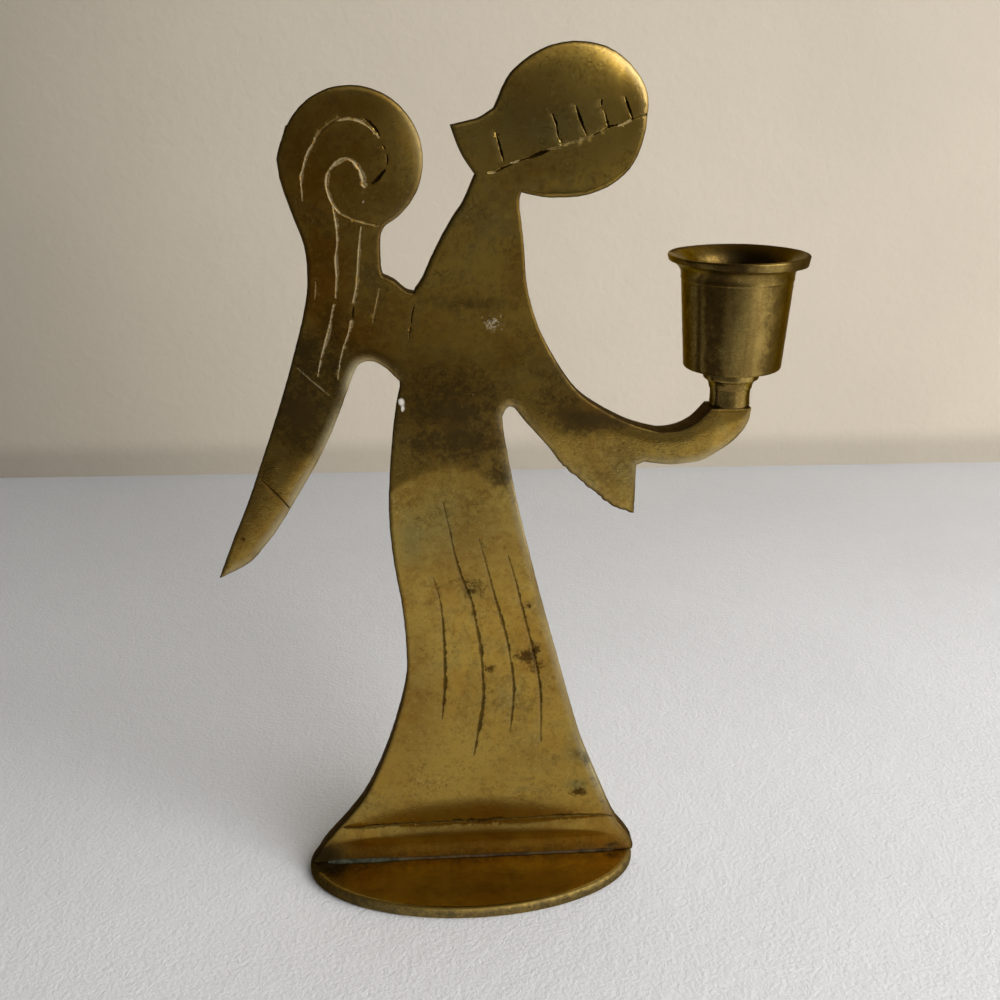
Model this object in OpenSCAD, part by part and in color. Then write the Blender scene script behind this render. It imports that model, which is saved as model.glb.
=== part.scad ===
// Angel candlestick: a flat cast brass figure stands on an oval foot and carries a turned candle cup.
// Z = 0 is the underside of the foot, the figure's face is towards -Y and the cup is towards +X.

/* [Foot] */
// Length of the oval foot, side to side
foot_l = 83.6; // [78:0.2:96]
// Depth of the oval foot, front to back
foot_d = 44; // [34:0.5:56]
// Thickness of the foot
foot_t = 3; // [2:0.25:5]

/* [Figure] */
// Height of the figure from the foot to the crown of its head
figure_h = 195.5; // [180:0.5:215]
// Thickness of the cast plate
plate_t = 4; // [3:0.25:5]
// Width of the gown at its hem
gown_w = 83; // [72:1:88]
// Height of the head's oval disc
head_h = 30; // [27:0.5:33]
// Length of the head's oval disc, from nape to brow
head_l = 31; // [28:0.5:34]
// How far the head's centre is carried in front of the foot's centre
head_x = 24; // [22:0.2:27]
// How far the wing's tip reaches behind the foot's centre
wing_reach = 57; // [52:0.5:62]
// Diameter of the scroll on top of the wing
scroll_d = 28.8; // [26:0.2:31]
// How far the cup's axis is held in front of the foot's centre
cup_reach = 60.2; // [57:0.2:64]
// How far the palm swells in front of the plate's middle plane
palm_front = 4; // [3:0.25:5]
// How far the palm swells behind the plate's middle plane
palm_back = 2.6; // [2.5:0.1:4]

/* [Engraving] */
// Depth of every engraved line
line_depth = 0.45; // [0.2:0.05:0.9]
// Width of a fold line on the gown
fold_line_w = 0.8; // [0.4:0.1:1.4]
// Width of the line above the hem
hem_line_w = 0.9; // [0.4:0.1:1.4]
// Width of a feather line on the wing
feather_line_w = 0.6; // [0.4:0.1:1.2]
// Width of the line round the scroll
scroll_line_w = 0.9; // [0.4:0.1:1.4]
// Width of the headband's line
band_line_w = 1.1; // [0.4:0.1:1.6]
// Width of a tick in the fringe above the headband
fringe_line_w = 0.7; // [0.4:0.1:1.2]

/* [Joint to the foot] */
// Width of each of the two tenons under the gown
tenon_w = 12; // [8:0.5:16]
// Distance between the middles of the two tenons
tenon_pitch = 44; // [36:1:52]
// Clearance on each side of a tenon in its slot
tenon_gap = 0.1; // [0.05:0.05:0.3]
// Height and width of the solder run along the seam
solder_leg = 1; // [0.5:0.1:1.6]
// Length of the solder run along the seam
solder_l = 74; // [60:1:76]

/* [Candle cup] */
// Height of the cup
cup_h = 24.8; // [22:0.2:30]
// Diameter of the cup at its rim
rim_d = 30; // [29:0.25:33]
// Thickness of the rim's flange
rim_t = 1.75; // [1.25:0.25:2.5]
// How far the flange's edge draws in towards its underside
rim_draft = 0.4; // [0.1:0.1:0.8]
// Diameter of the cup's body where it meets the rim
body_top_d = 24.2; // [24:0.2:26]
// Diameter of the cup's body at its bottom
body_bottom_d = 21.4; // [21.1:0.1:23]
// Rounding of the cup's bottom edge
body_edge_r = 0.6; // [0.4:0.1:1.2]
// Diameter of the socket that the candle stands in
socket_d = 19.5; // [18:0.1:20]
// Diameter of the belled mouth at the top of the socket
mouth_d = 27.6; // [26:0.2:28.2]
// Depth of the belled mouth
mouth_depth = 3.6; // [2.5:0.1:5]
// Thickness of the cup's floor
floor_t = 2.6; // [2.3:0.1:4]

/* [Collar, neck and screw] */
// Diameter of the collar under the cup
collar_d = 12.4; // [11.5:0.1:14]
// Height of the collar's straight part
collar_h = 3; // [2.5:0.1:4.5]
// Height of the cone under the collar
collar_cone_h = 1.7; // [0.8:0.1:2.4]
// Diameter of the neck
neck_d = 9.1; // [8:0.1:10.2]
// Height of the neck
neck_h = 3.9; // [3:0.1:6]
// Diameter of the screw's shank
screw_d = 3; // [2.5:0.5:3.5]
// Diameter of the screw's countersunk head
screw_head_d = 5.8; // [5.2:0.1:6.6]
// How deep the screw goes into the palm
screw_grip = 8; // [6:0.5:9]
// Clearance round the screw's shank in the pieces that it passes through
screw_gap = 0.2; // [0.1:0.05:0.4]
// Clearance round the screw in the palm and round its head
screw_fit = 0.05; // [0.02:0.01:0.1]
// Width of the driver slot in the screw's head
driver_slot_w = 0.8; // [0.6:0.1:1]
// Depth of the driver slot in the screw's head
driver_slot_depth = 0.6; // [0.4:0.1:0.8]

/* [Hidden] */
$fn = 96;
// Points that a smooth edge and an engraved line get between two chosen points
steps = 5;
line_steps = 3;
// Points round an oval
oval_points = 96;
// How far a cut runs past the surface that it opens
overrun = 1;

brass = [0.66, 0.53, 0.27];
dark_brass = [0.47, 0.36, 0.16];
old_solder = [0.50, 0.50, 0.42];

// Places that follow from the sizes above
head_z = figure_h - head_h / 2;
palm_share = 0.611;
palm_z = foot_t + palm_share * figure_h;
collar_z = palm_z + neck_h;
cup_z = collar_z + collar_cone_h + collar_h;
screw_head_h = (screw_head_d - screw_d) / 2;

// The gown's outline, as shares of gown_w and figure_h, from the hem upwards
gown_back_share = [
    [-0.500, 0.000], [-0.474, 0.014], [-0.447, 0.032], [-0.373, 0.069], [-0.314, 0.105], [-0.256, 0.159],
    [-0.214, 0.211], [-0.183, 0.263], [-0.176, 0.305], [-0.182, 0.365], [-0.200, 0.425], [-0.208, 0.480],
    [-0.203, 0.530], [-0.187, 0.591], [-0.174, 0.624], [-0.164, 0.642], [-0.165, 0.653]];
shoulder_back_share = [
    [-0.116, 0.750], [-0.097, 0.761], [-0.061, 0.792], [-0.020, 0.822], [0.014, 0.843]];
gown_front_share = [
    [0.512, 0.000], [0.503, 0.013], [0.478, 0.031], [0.445, 0.051], [0.408, 0.090], [0.372, 0.130],
    [0.336, 0.172], [0.300, 0.228], [0.265, 0.287], [0.215, 0.370], [0.165, 0.461], [0.134, 0.526],
    [0.109, 0.590], [0.107, 0.613]];
chest_core_share = [[0.100, 0.640], [0.080, 0.750]];

// The arm's outline, as shares of cup_reach and figure_h, from the throat round the hand to the armpit
arm_top_share = [
    [0.218, 0.851], [0.212, 0.838], [0.226, 0.800], [0.234, 0.764], [0.245, 0.742], [0.272, 0.713],
    [0.326, 0.677], [0.400, 0.641], [0.461, 0.622], [0.553, 0.604], [0.641, 0.591], [0.734, 0.583]];
wrist_share = [[0.734, 0.583], [0.800, 0.585], [0.862, 0.594], [0.915, palm_share]];
hand_share = [
    [1.067, palm_share], [1.062, 0.598], [1.047, 0.587], [1.022, 0.577], [0.987, 0.567], [0.947, 0.559],
    [0.905, 0.551], [0.862, 0.547], [0.771, 0.544], [0.680, 0.547]];
sleeve_share = [[0.652, 0.543], [0.650, 0.524], [0.649, 0.482]];
cuff_share = [
    [0.649, 0.482], [0.594, 0.488], [0.547, 0.497], [0.500, 0.509], [0.453, 0.522], [0.406, 0.535],
    [0.359, 0.549]];
armpit_share = [
    [0.359, 0.549], [0.323, 0.565], [0.275, 0.583], [0.224, 0.601], [0.199, 0.612], [0.178, 0.617],
    [0.160, 0.614], [0.148, 0.605]];
chest_inner_share = [[0.050, 0.610], [0.050, 0.847]];
// Where the arm starts to swell into the palm, and where it is full
swell_share = [0.71, 0.90];

// The wing's outline, as shares of wing_reach and figure_h, from its tip up to the scroll and down again
wing_outer_share = [
    [-1.000, 0.414], [-0.925, 0.465], [-0.856, 0.509], [-0.767, 0.574], [-0.685, 0.637], [-0.616, 0.697],
    [-0.577, 0.736], [-0.562, 0.765], [-0.565, 0.797], [-0.601, 0.832], [-0.634, 0.864], [-0.643, 0.890]];
scroll_shoulder_share = [[-0.602, 0.921], [-0.375, 0.886]];
wing_neck_share = [[-0.262, 0.822], [-0.289, 0.806], [-0.292, 0.773]];
lug_top_share = [[-0.286, 0.766], [-0.240, 0.759], [-0.203, 0.749], [-0.174, 0.747]];
lug_inner_share = [[-0.080, 0.747], [-0.080, 0.652]];
lug_under_share = [
    [-0.234, 0.648], [-0.254, 0.653], [-0.289, 0.664], [-0.340, 0.672], [-0.392, 0.668], [-0.424, 0.650],
    [-0.483, 0.608], [-0.555, 0.565], [-0.644, 0.522], [-0.743, 0.477], [-0.802, 0.455], [-0.877, 0.432],
    [-1.000, 0.414]];
// The scroll's centre, as shares of wing_reach and figure_h
scroll_share = [-0.375, 0.886];

// The head's outline, as shares of head_l and head_h from its centre, from the throat over the brow to the nape
head_share = [
    [-0.303, -0.483], [-0.195, -0.505], [-0.060, -0.510], [0.080, -0.497], [0.244, -0.437], [0.376, -0.326],
    [0.452, -0.170], [0.482, 0.010], [0.476, 0.180], [0.377, 0.339], [0.236, 0.449], [0.066, 0.495],
    [-0.111, 0.484], [-0.272, 0.420], [-0.405, 0.314], [-0.463, 0.227]];
// The knot of hair behind the head, measured in the same way, down to the nape
knot_share = [
    [-0.526, 0.083], [-0.619, 0.020], [-0.716, -0.003], [-0.816, -0.023], [-0.774, -0.153], [-0.734, -0.237],
    [-0.660, -0.348]];

// The fold lines of the gown, as shares of gown_w and figure_h
fold_shares = [
    [[-0.093, 0.407], [-0.077, 0.382], [-0.069, 0.351], [-0.066, 0.310], [-0.069, 0.256], [-0.080, 0.211]],
    [[-0.059, 0.503], [-0.045, 0.472], [-0.022, 0.421], [0.016, 0.373], [0.036, 0.317], [0.043, 0.274],
     [0.042, 0.229], [0.012, 0.155]],
    [[0.039, 0.455], [0.057, 0.425], [0.084, 0.374], [0.112, 0.327], [0.129, 0.280], [0.134, 0.243],
     [0.122, 0.186]],
    [[0.119, 0.432], [0.139, 0.403], [0.161, 0.359], [0.184, 0.317], [0.205, 0.274], [0.214, 0.233],
     [0.214, 0.172]]];
hem_line_share = [[-0.400, 0.050], [-0.195, 0.052], [0.024, 0.056], [0.243, 0.056], [0.445, 0.052]];
// The short line where the wing meets the shoulder
shoulder_line_share = [[-0.129, 0.732], [-0.131, 0.715], [-0.137, 0.694]];

// The feather lines of the wing, as shares of wing_reach and figure_h
feather_shares = [
    [[-0.451, 0.840], [-0.446, 0.800], [-0.444, 0.786], [-0.465, 0.744], [-0.495, 0.706], [-0.546, 0.660]],
    [[-0.354, 0.818], [-0.370, 0.790], [-0.381, 0.756], [-0.409, 0.727], [-0.451, 0.686], [-0.472, 0.652]],
    [[-0.304, 0.753], [-0.322, 0.732], [-0.340, 0.711]],
    [[-0.532, 0.759], [-0.538, 0.749], [-0.544, 0.740]],
    [[-0.796, 0.537], [-0.746, 0.520], [-0.696, 0.502]]];

// The scroll's line, as shares of scroll_d from the scroll's centre
scroll_outer_share = [
    [-0.368, -0.260], [-0.372, -0.128], [-0.333, 0.014], [-0.201, 0.212], [0.017, 0.295], [0.122, 0.264],
    [0.212, 0.170], [0.253, -0.014], [0.215, -0.101], [0.135, -0.170], [0.083, -0.177]];
scroll_inner_share = [
    [0.083, -0.184], [0.069, -0.080], [0.028, -0.010], [-0.038, 0.010], [-0.125, -0.010], [-0.170, -0.076],
    [-0.191, -0.146], [-0.177, -0.253], [-0.122, -0.326], [-0.042, -0.403], [0.049, -0.441], [0.177, -0.476]];

// The headband and the ticks of the fringe above it, as shares of head_l and head_h from the head's centre
band_share = [
    [-0.584, -0.330], [-0.465, -0.300], [-0.287, -0.243], [-0.168, -0.203], [-0.081, -0.167],
    [0.071, -0.130], [0.165, -0.097], [0.255, -0.040], [0.381, -0.010], [0.477, 0.027]];
fringe_shares = [
    [[-0.529, -0.057], [-0.465, -0.267]], [[-0.155, 0.040], [-0.081, -0.160]],
    [[0.006, 0.097], [0.084, -0.110]], [[0.171, 0.127], [0.235, -0.053]], [[0.329, 0.137], [0.387, -0.010]]];

// A list of shares laid out over a width and a height
function laid(shares, w, h) = [for (s = shares) [s[0] * w, s[1] * h]];

// Shares of the head's length and height, laid out round its centre
function from_head(shares) = [for (s = laid(shares, head_l, head_h)) [head_x, head_z] + s];

// A point on the smooth curve that leaves b for c, where a and d are their outer neighbours
function blend(a, b, c, d, t) =
    (2 * b + t * (c - a) + t * t * (2 * a - 5 * b + 4 * c - d) + t * t * t * (3 * b - a - 3 * c + d)) / 2;

// A smooth curve through all points of a list, with n stretches between two of them
function smooth(p, n = steps) = let(last = len(p) - 1)
    [for (i = [0:last - 1], k = [0:n - 1])
        blend(p[max(i - 1, 0)], p[i], p[i + 1], p[min(i + 2, last)], k / n), p[last]];

function reversed(p) = [for (i = [len(p) - 1:-1:0]) p[i]];

function without_last(p) = [for (i = [0:len(p) - 2]) p[i]];

// Points round an oval of length l and depth d
function oval(l, d) = [for (i = [0:oval_points - 1]) let(a = 360 * i / oval_points) [l * cos(a), d * sin(a)] / 2];

// Points on an arc round centre c
function arc(c, rx, ry, from, to, n) =
    [for (i = [0:n]) let(a = from + (to - from) * i / n) c + [rx * cos(a), ry * sin(a)]];

// A rise from 0 to 1 that starts and ends level
function eased(t) = (1 - cos(180 * min(max(t, 0), 1))) / 2;

// The outline of an engraved line that swells from a point at each end to its full width
function ribbon(p, w) = let(
    last = len(p) - 1,
    side = [for (i = [1:last - 1]) let(d = p[i + 1] - p[i - 1], half = w / 2 * sqrt(sin(180 * i / last)))
        [-d[1], d[0]] / norm(d) * half])
    concat([p[0]], [for (i = [1:last - 1]) p[i] + side[i - 1]],
           [p[last]], [for (i = [last - 1:-1:1]) p[i] - side[i - 1]]);

// Turns a drawing upright, with its top along Z and its thickness towards the figure's face
module upright() {
    translate([0, 0, foot_t]) rotate([90, 0, 0]) children();
}

module gown_outline() {
    nape = from_head([knot_share[len(knot_share) - 1]]);
    polygon(concat(
        smooth(laid(gown_back_share, gown_w, figure_h)),
        smooth(concat(laid(shoulder_back_share, gown_w, figure_h), nape)),
        [[head_x, head_z]],
        from_head([head_share[0]]),
        laid([arm_top_share[0]], cup_reach, figure_h),
        reversed(laid(chest_core_share, gown_w, figure_h)),
        reversed(smooth(laid(gown_front_share, gown_w, figure_h)))));
}

module wing_outline() {
    polygon(concat(
        smooth(laid(wing_outer_share, wing_reach, figure_h)),
        laid(scroll_shoulder_share, wing_reach, figure_h),
        smooth(laid(wing_neck_share, wing_reach, figure_h)),
        smooth(laid(lug_top_share, wing_reach, figure_h)),
        laid(lug_inner_share, wing_reach, figure_h),
        without_last(smooth(laid(lug_under_share, wing_reach, figure_h)))));
    translate([scroll_share[0] * wing_reach, scroll_share[1] * figure_h]) circle(d = scroll_d);
}

module head_outline() {
    polygon(concat(smooth(from_head(head_share)), from_head(knot_share)));
}

module arm_outline() {
    polygon(concat(
        without_last(smooth(laid(arm_top_share, cup_reach, figure_h))),
        smooth(laid(wrist_share, cup_reach, figure_h)),
        smooth(laid(hand_share, cup_reach, figure_h)),
        without_last(laid(sleeve_share, cup_reach, figure_h)),
        without_last(smooth(laid(cuff_share, cup_reach, figure_h))),
        smooth(laid(armpit_share, cup_reach, figure_h)),
        laid(chest_inner_share, cup_reach, figure_h)));
}

// Two tongues under the hem that pass through the foot
module tenon_outline() {
    for (side = [-1, 1]) translate([side * tenon_pitch / 2 - tenon_w / 2, -foot_t])
        square([tenon_w, foot_t + overrun]);
}

// The arm seen from above: plate thickness at the sleeve, swelling into the palm
module arm_plan() {
    from = swell_share[0] * cup_reach;
    full = swell_share[1] * cup_reach;
    tip = hand_share[0][0] * cup_reach + overrun;
    count = 3 * steps;
    rise = [for (i = [0:count]) [from + (full - from) * i / count, eased(i / count)]];
    half = plate_t / 2;
    polygon(concat(
        [[0, half], [0, -half]],
        [for (r = rise) [r[0], -half - (palm_front - half) * r[1]]],
        [[tip, -palm_front], [tip, palm_back]],
        [for (r = reversed(rise)) [r[0], half + (palm_back - half) * r[1]]]));
}

module engraved(p, w) {
    upright() translate([0, 0, plate_t / 2 - line_depth])
        linear_extrude(line_depth + overrun) polygon(ribbon(smooth(p, line_steps), w));
}

module gown_lines() {
    for (fold = fold_shares) engraved(laid(fold, gown_w, figure_h), fold_line_w);
    engraved(laid(hem_line_share, gown_w, figure_h), hem_line_w);
    engraved(laid(shoulder_line_share, gown_w, figure_h), feather_line_w);
}

module wing_lines() {
    scroll = [scroll_share[0] * wing_reach, scroll_share[1] * figure_h];
    for (feather = feather_shares) engraved(laid(feather, wing_reach, figure_h), feather_line_w);
    for (turn = [scroll_outer_share, scroll_inner_share])
        engraved([for (s = turn) scroll + scroll_d * s], scroll_line_w);
}

module head_lines() {
    for (line = concat([[band_share, band_line_w]], [for (tick = fringe_shares) [tick, fringe_line_w]]))
        engraved(from_head(line[0]), line[1]);
}

module figure_plate() {
    color(brass) difference() {
        union() {
            upright() translate([0, 0, -plate_t / 2]) linear_extrude(plate_t) {
                gown_outline();
                wing_outline();
                head_outline();
                tenon_outline();
            }
            intersection() {
                upright() translate([0, 0, -palm_back - overrun])
                    linear_extrude(palm_back + palm_front + 2 * overrun) arm_outline();
                linear_extrude(foot_t + figure_h) arm_plan();
            }
        }
        gown_lines();
        wing_lines();
        head_lines();
        translate([cup_reach, 0, palm_z - screw_grip - screw_fit])
            cylinder(d = screw_d + 2 * screw_fit, h = screw_grip + screw_fit + overrun);
    }
}

module base_plate() {
    color(dark_brass) difference() {
        linear_extrude(foot_t) polygon(oval(foot_l, foot_d));
        for (side = [-1, 1])
            translate([side * tenon_pitch / 2, 0, foot_t / 2])
                cube([tenon_w + 2 * tenon_gap, plate_t + 2 * tenon_gap, foot_t + 2 * overrun], center = true);
    }
}

// A hollow run of solder in the corner between the plate and the foot
module solder_run() {
    rotate([90, 0, 90]) linear_extrude(solder_l, center = true)
        polygon(concat([[0, 0]], reversed(arc([solder_leg, solder_leg], solder_leg, solder_leg, 180, 270, steps))));
}

module solder_front() {
    color(old_solder) translate([0, -plate_t / 2, foot_t]) mirror([0, 1, 0]) solder_run();
}

module solder_back() {
    color(old_solder) translate([0, plate_t / 2, foot_t]) solder_run();
}

// The hole for the screw in a turned piece
module shank_hole(h) {
    translate([0, 0, -overrun]) cylinder(d = screw_d + 2 * screw_gap, h = h + 2 * overrun);
}

module candle_cup() {
    rim_r = rim_d / 2;
    body_r = body_top_d / 2;
    foot_r = body_bottom_d / 2;
    socket_r = socket_d / 2;
    mouth_r = mouth_d / 2;
    rim_low = cup_h - rim_t;
    // The cove under the flange takes the space between the flange and the body
    cove = rim_r - rim_draft - body_r;
    cove_z = rim_low - cove;
    mouth_z = cup_h - mouth_depth;
    color(brass) translate([cup_reach, 0, cup_z]) difference() {
        rotate_extrude() polygon(concat(
            [[0, 0]],
            arc([foot_r - body_edge_r, body_edge_r], body_edge_r, body_edge_r, 270, 360, steps),
            reversed(arc([rim_r - rim_draft, cove_z], cove, cove, 90, 180, 2 * steps)),
            [[rim_r, cup_h], [mouth_r, cup_h]],
            arc([mouth_r, mouth_z], mouth_r - socket_r, mouth_depth, 90, 180, 2 * steps),
            [[socket_r, floor_t], [0, floor_t]]));
        shank_hole(floor_t);
        translate([0, 0, floor_t - screw_head_h])
            cylinder(d1 = screw_d + 2 * screw_gap, d2 = screw_head_d + 2 * screw_gap, h = screw_head_h);
    }
}

module cup_collar() {
    color(brass) translate([cup_reach, 0, collar_z]) difference() {
        union() {
            cylinder(d1 = neck_d, d2 = collar_d, h = collar_cone_h);
            translate([0, 0, collar_cone_h]) cylinder(d = collar_d, h = collar_h);
        }
        shank_hole(collar_cone_h + collar_h);
    }
}

module cup_neck() {
    color(brass) translate([cup_reach, 0, palm_z]) difference() {
        cylinder(d = neck_d, h = neck_h);
        shank_hole(neck_h);
    }
}

module cup_screw() {
    shank_l = screw_grip + neck_h + collar_cone_h + collar_h + floor_t;
    color(dark_brass) translate([cup_reach, 0, palm_z - screw_grip]) difference() {
        union() {
            cylinder(d = screw_d, h = shank_l - screw_head_h);
            translate([0, 0, shank_l - screw_head_h])
                cylinder(d1 = screw_d, d2 = screw_head_d, h = screw_head_h);
        }
        translate([0, 0, shank_l])
            cube([screw_head_d + overrun, driver_slot_w, 2 * driver_slot_depth], center = true);
    }
}

base_plate();
figure_plate();
solder_front();
solder_back();
candle_cup();
cup_collar();
cup_neck();
cup_screw();
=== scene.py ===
"""Looks of the angel candlestick: a flat cast brass figure on an oval foot, holding a turned candle cup.

Sizes are in millimetres in the fields and tables, and turned into metres where a mesh is made.
The figure's face looks towards -Y, its hand and cup are towards +X, and the foot stands on Z = 0.
"""

from __future__ import annotations

import logging
import math
from dataclasses import dataclass
from enum import Enum
from typing import Optional, Sequence, Union

import bmesh
import bpy
import numpy as np
from mathutils import Matrix, Vector, geometry, kdtree

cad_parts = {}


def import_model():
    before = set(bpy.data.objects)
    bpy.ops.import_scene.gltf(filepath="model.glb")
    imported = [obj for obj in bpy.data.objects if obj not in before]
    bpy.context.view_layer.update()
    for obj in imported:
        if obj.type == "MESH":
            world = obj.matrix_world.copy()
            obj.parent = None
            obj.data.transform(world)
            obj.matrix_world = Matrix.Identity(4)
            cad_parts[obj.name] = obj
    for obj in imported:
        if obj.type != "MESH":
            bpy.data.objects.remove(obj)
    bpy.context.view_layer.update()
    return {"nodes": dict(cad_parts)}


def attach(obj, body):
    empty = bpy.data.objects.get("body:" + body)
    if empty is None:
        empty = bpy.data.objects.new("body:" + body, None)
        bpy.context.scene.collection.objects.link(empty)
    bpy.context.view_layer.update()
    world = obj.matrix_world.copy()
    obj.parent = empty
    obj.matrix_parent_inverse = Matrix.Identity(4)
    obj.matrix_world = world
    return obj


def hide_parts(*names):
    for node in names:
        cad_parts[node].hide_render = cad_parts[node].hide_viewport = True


MM = 0.001
LOG = logging.getLogger("angel_candlestick")
DAYLIGHT = (1.0, 0.985, 0.965)
Colour = tuple[float, float, float]
Triple = tuple[float, float, float]
Pair = tuple[float, float]
Link = tuple[int, int]

# Noises of the finishes: features in a metre, finer layers, the weight of these and how far the noise is bent.
CLOUD = (42, 3, 0.6, 0.6)
FILM = (75, 4, 0.7, 1.2)
MOTTLE = (430, 4, 0.75, 0.5)
SPECK = (1500, 2, 0.7)
RUBBED = (950, 3, 0.7, 0.3)
VEIN = (820, 4, 0.8, 0.8)
VEIN_PATCH = (120,)
SPOT = (760, 4, 0.8, 0.5)
GRIT = (760, 4, 0.8, 0.4)
GRIT_PATCH = (190, 4, 0.7, 0.5)
CHALK_AND_LIP = (1500, 4, 0.75)
FLECK = (1300, 3, 0.7)
STREAK = (330, 3, 0.6)
PIT = (900, 2, 0.6)
CAST_GRAIN = (520, 3, 0.65)
SOLDER_CLOUD = (240, 3, 0.65, 0.5)
SOLDER_GRAIN = (1400, 3, 0.7)
PALE_CLOUD = (9, 3, 0.6)

# Where a layer of the finishes starts to show, and where it shows in full.
PATCH_SPAN = (0.40, 0.62)
FILM_SPAN = (0.44, 0.62)
STREAK_SPAN = (0.44, 0.64)
SPECK_SPAN = (0.50, 0.66)
RUBBED_SPAN = (0.55, 0.68)
VEIN_SPAN = (0.52, 0.62)
VEIN_PATCH_SPAN = (0.48, 0.62)
SPOT_SPAN = (0.22, 0.8)
GRIT_SPAN = (0.42, 1.5)
CHALK_AND_LIP_SPAN = (0.38, 0.52)
FLECK_SPAN = (0.38, 0.52)
FLECK_EDGE_SPAN = (0.02, 0.12)
PIT_SPAN = (0.30, 0.44)
SCRATCH_SPAN = (0.60, 0.72)
SOLDER_SPAN = (0.4, 0.62)

# Noises of the shapes, and lengths in metres that only a geometry tree reads.
CHIP = (1500, 2, 0.6)
FINE_WAVE = (210, 1)
BEAD_GRAIN = (900, 2, 0.6)
BEAD_GRAIN_H = 0.0004
# LIP_LIGHT_SHIFT and LIP_LIGHT_W place the painted highlight on the left lip of a line.
LIP_LIGHT_SHIFT = (0.00034, 0.0, 0.00006)
LIP_LIGHT_W = 0.00023
LIP_H = 0.00001
CALM_REACH = (0.0, 0.002)
# How far in from the edge the painted shade and the painted highlight reach.
RIM_SHADE_REACH = (0.00065, 0.0002)
HIGHLIGHT_REACH = (0.0024, 0.0003)
BEAD_SWELL = (-0.010, -0.028)
BEAD_END = (0.0385, 0.034)
WELD = 0.000002


class Slot(Enum):
    """Names for material slots, which the script doesn't use."""

    FIGURE = "figure_brass"
    FOOT = "foot_brass"
    CUP = "cup_brass"
    SOLDER = "solder"


class Edge(Enum):
    """How an engraved line shows: old dirt in it, pale polish in it, and a painted highlight on its left lip,
    the side that faces the light.
    """

    DEEP = (0.97, 0.0, 0.08)
    LIPPED = (1.0, 0.0, 0.2)
    FOLD = (0.64, 0.0, 0.2)
    WORN = (0.55, 0.2, 0.5)
    PALE = (0.0, 1.0, 0.0)
    FAINT = (0.1, 0.5, 0.0)


class Value:
    """A node's output. Plain arithmetic on it adds Math nodes."""

    def __init__(self, graph: Graph, socket: bpy.types.NodeSocket) -> None:
        """Keeps the graph and the output's socket."""
        self.graph, self.socket = graph, socket

    def __add__(self, other: Feed) -> Value:
        """Adds, from either side."""
        return self.graph.math("ADD", self, other)

    def __sub__(self, other: Feed) -> Value:
        """Takes the other away."""
        return self.graph.math("SUBTRACT", self, other)

    def __rsub__(self, other: Feed) -> Value:
        """Takes this away from the other."""
        return self.graph.math("SUBTRACT", other, self)

    def __mul__(self, other: Feed) -> Value:
        """Multiplies, from either side."""
        return self.graph.math("MULTIPLY", self, other)

    def __truediv__(self, other: Feed) -> Value:
        """Divides by the other."""
        return self.graph.math("DIVIDE", self, other)

    def __rtruediv__(self, other: Feed) -> Value:
        """Divides the other by this."""
        return self.graph.math("DIVIDE", other, self)

    __radd__, __rmul__ = __add__, __mul__

    def held(self) -> Value:
        """Holds the result of the last Math node between 0 and 1."""
        self.socket.node.use_clamp = True
        return self


Feed = Union[float, str, Sequence[float], bpy.types.NodeSocket, Value]
Key = Union[int, str]
Inputs = dict[Key, Feed]


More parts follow.
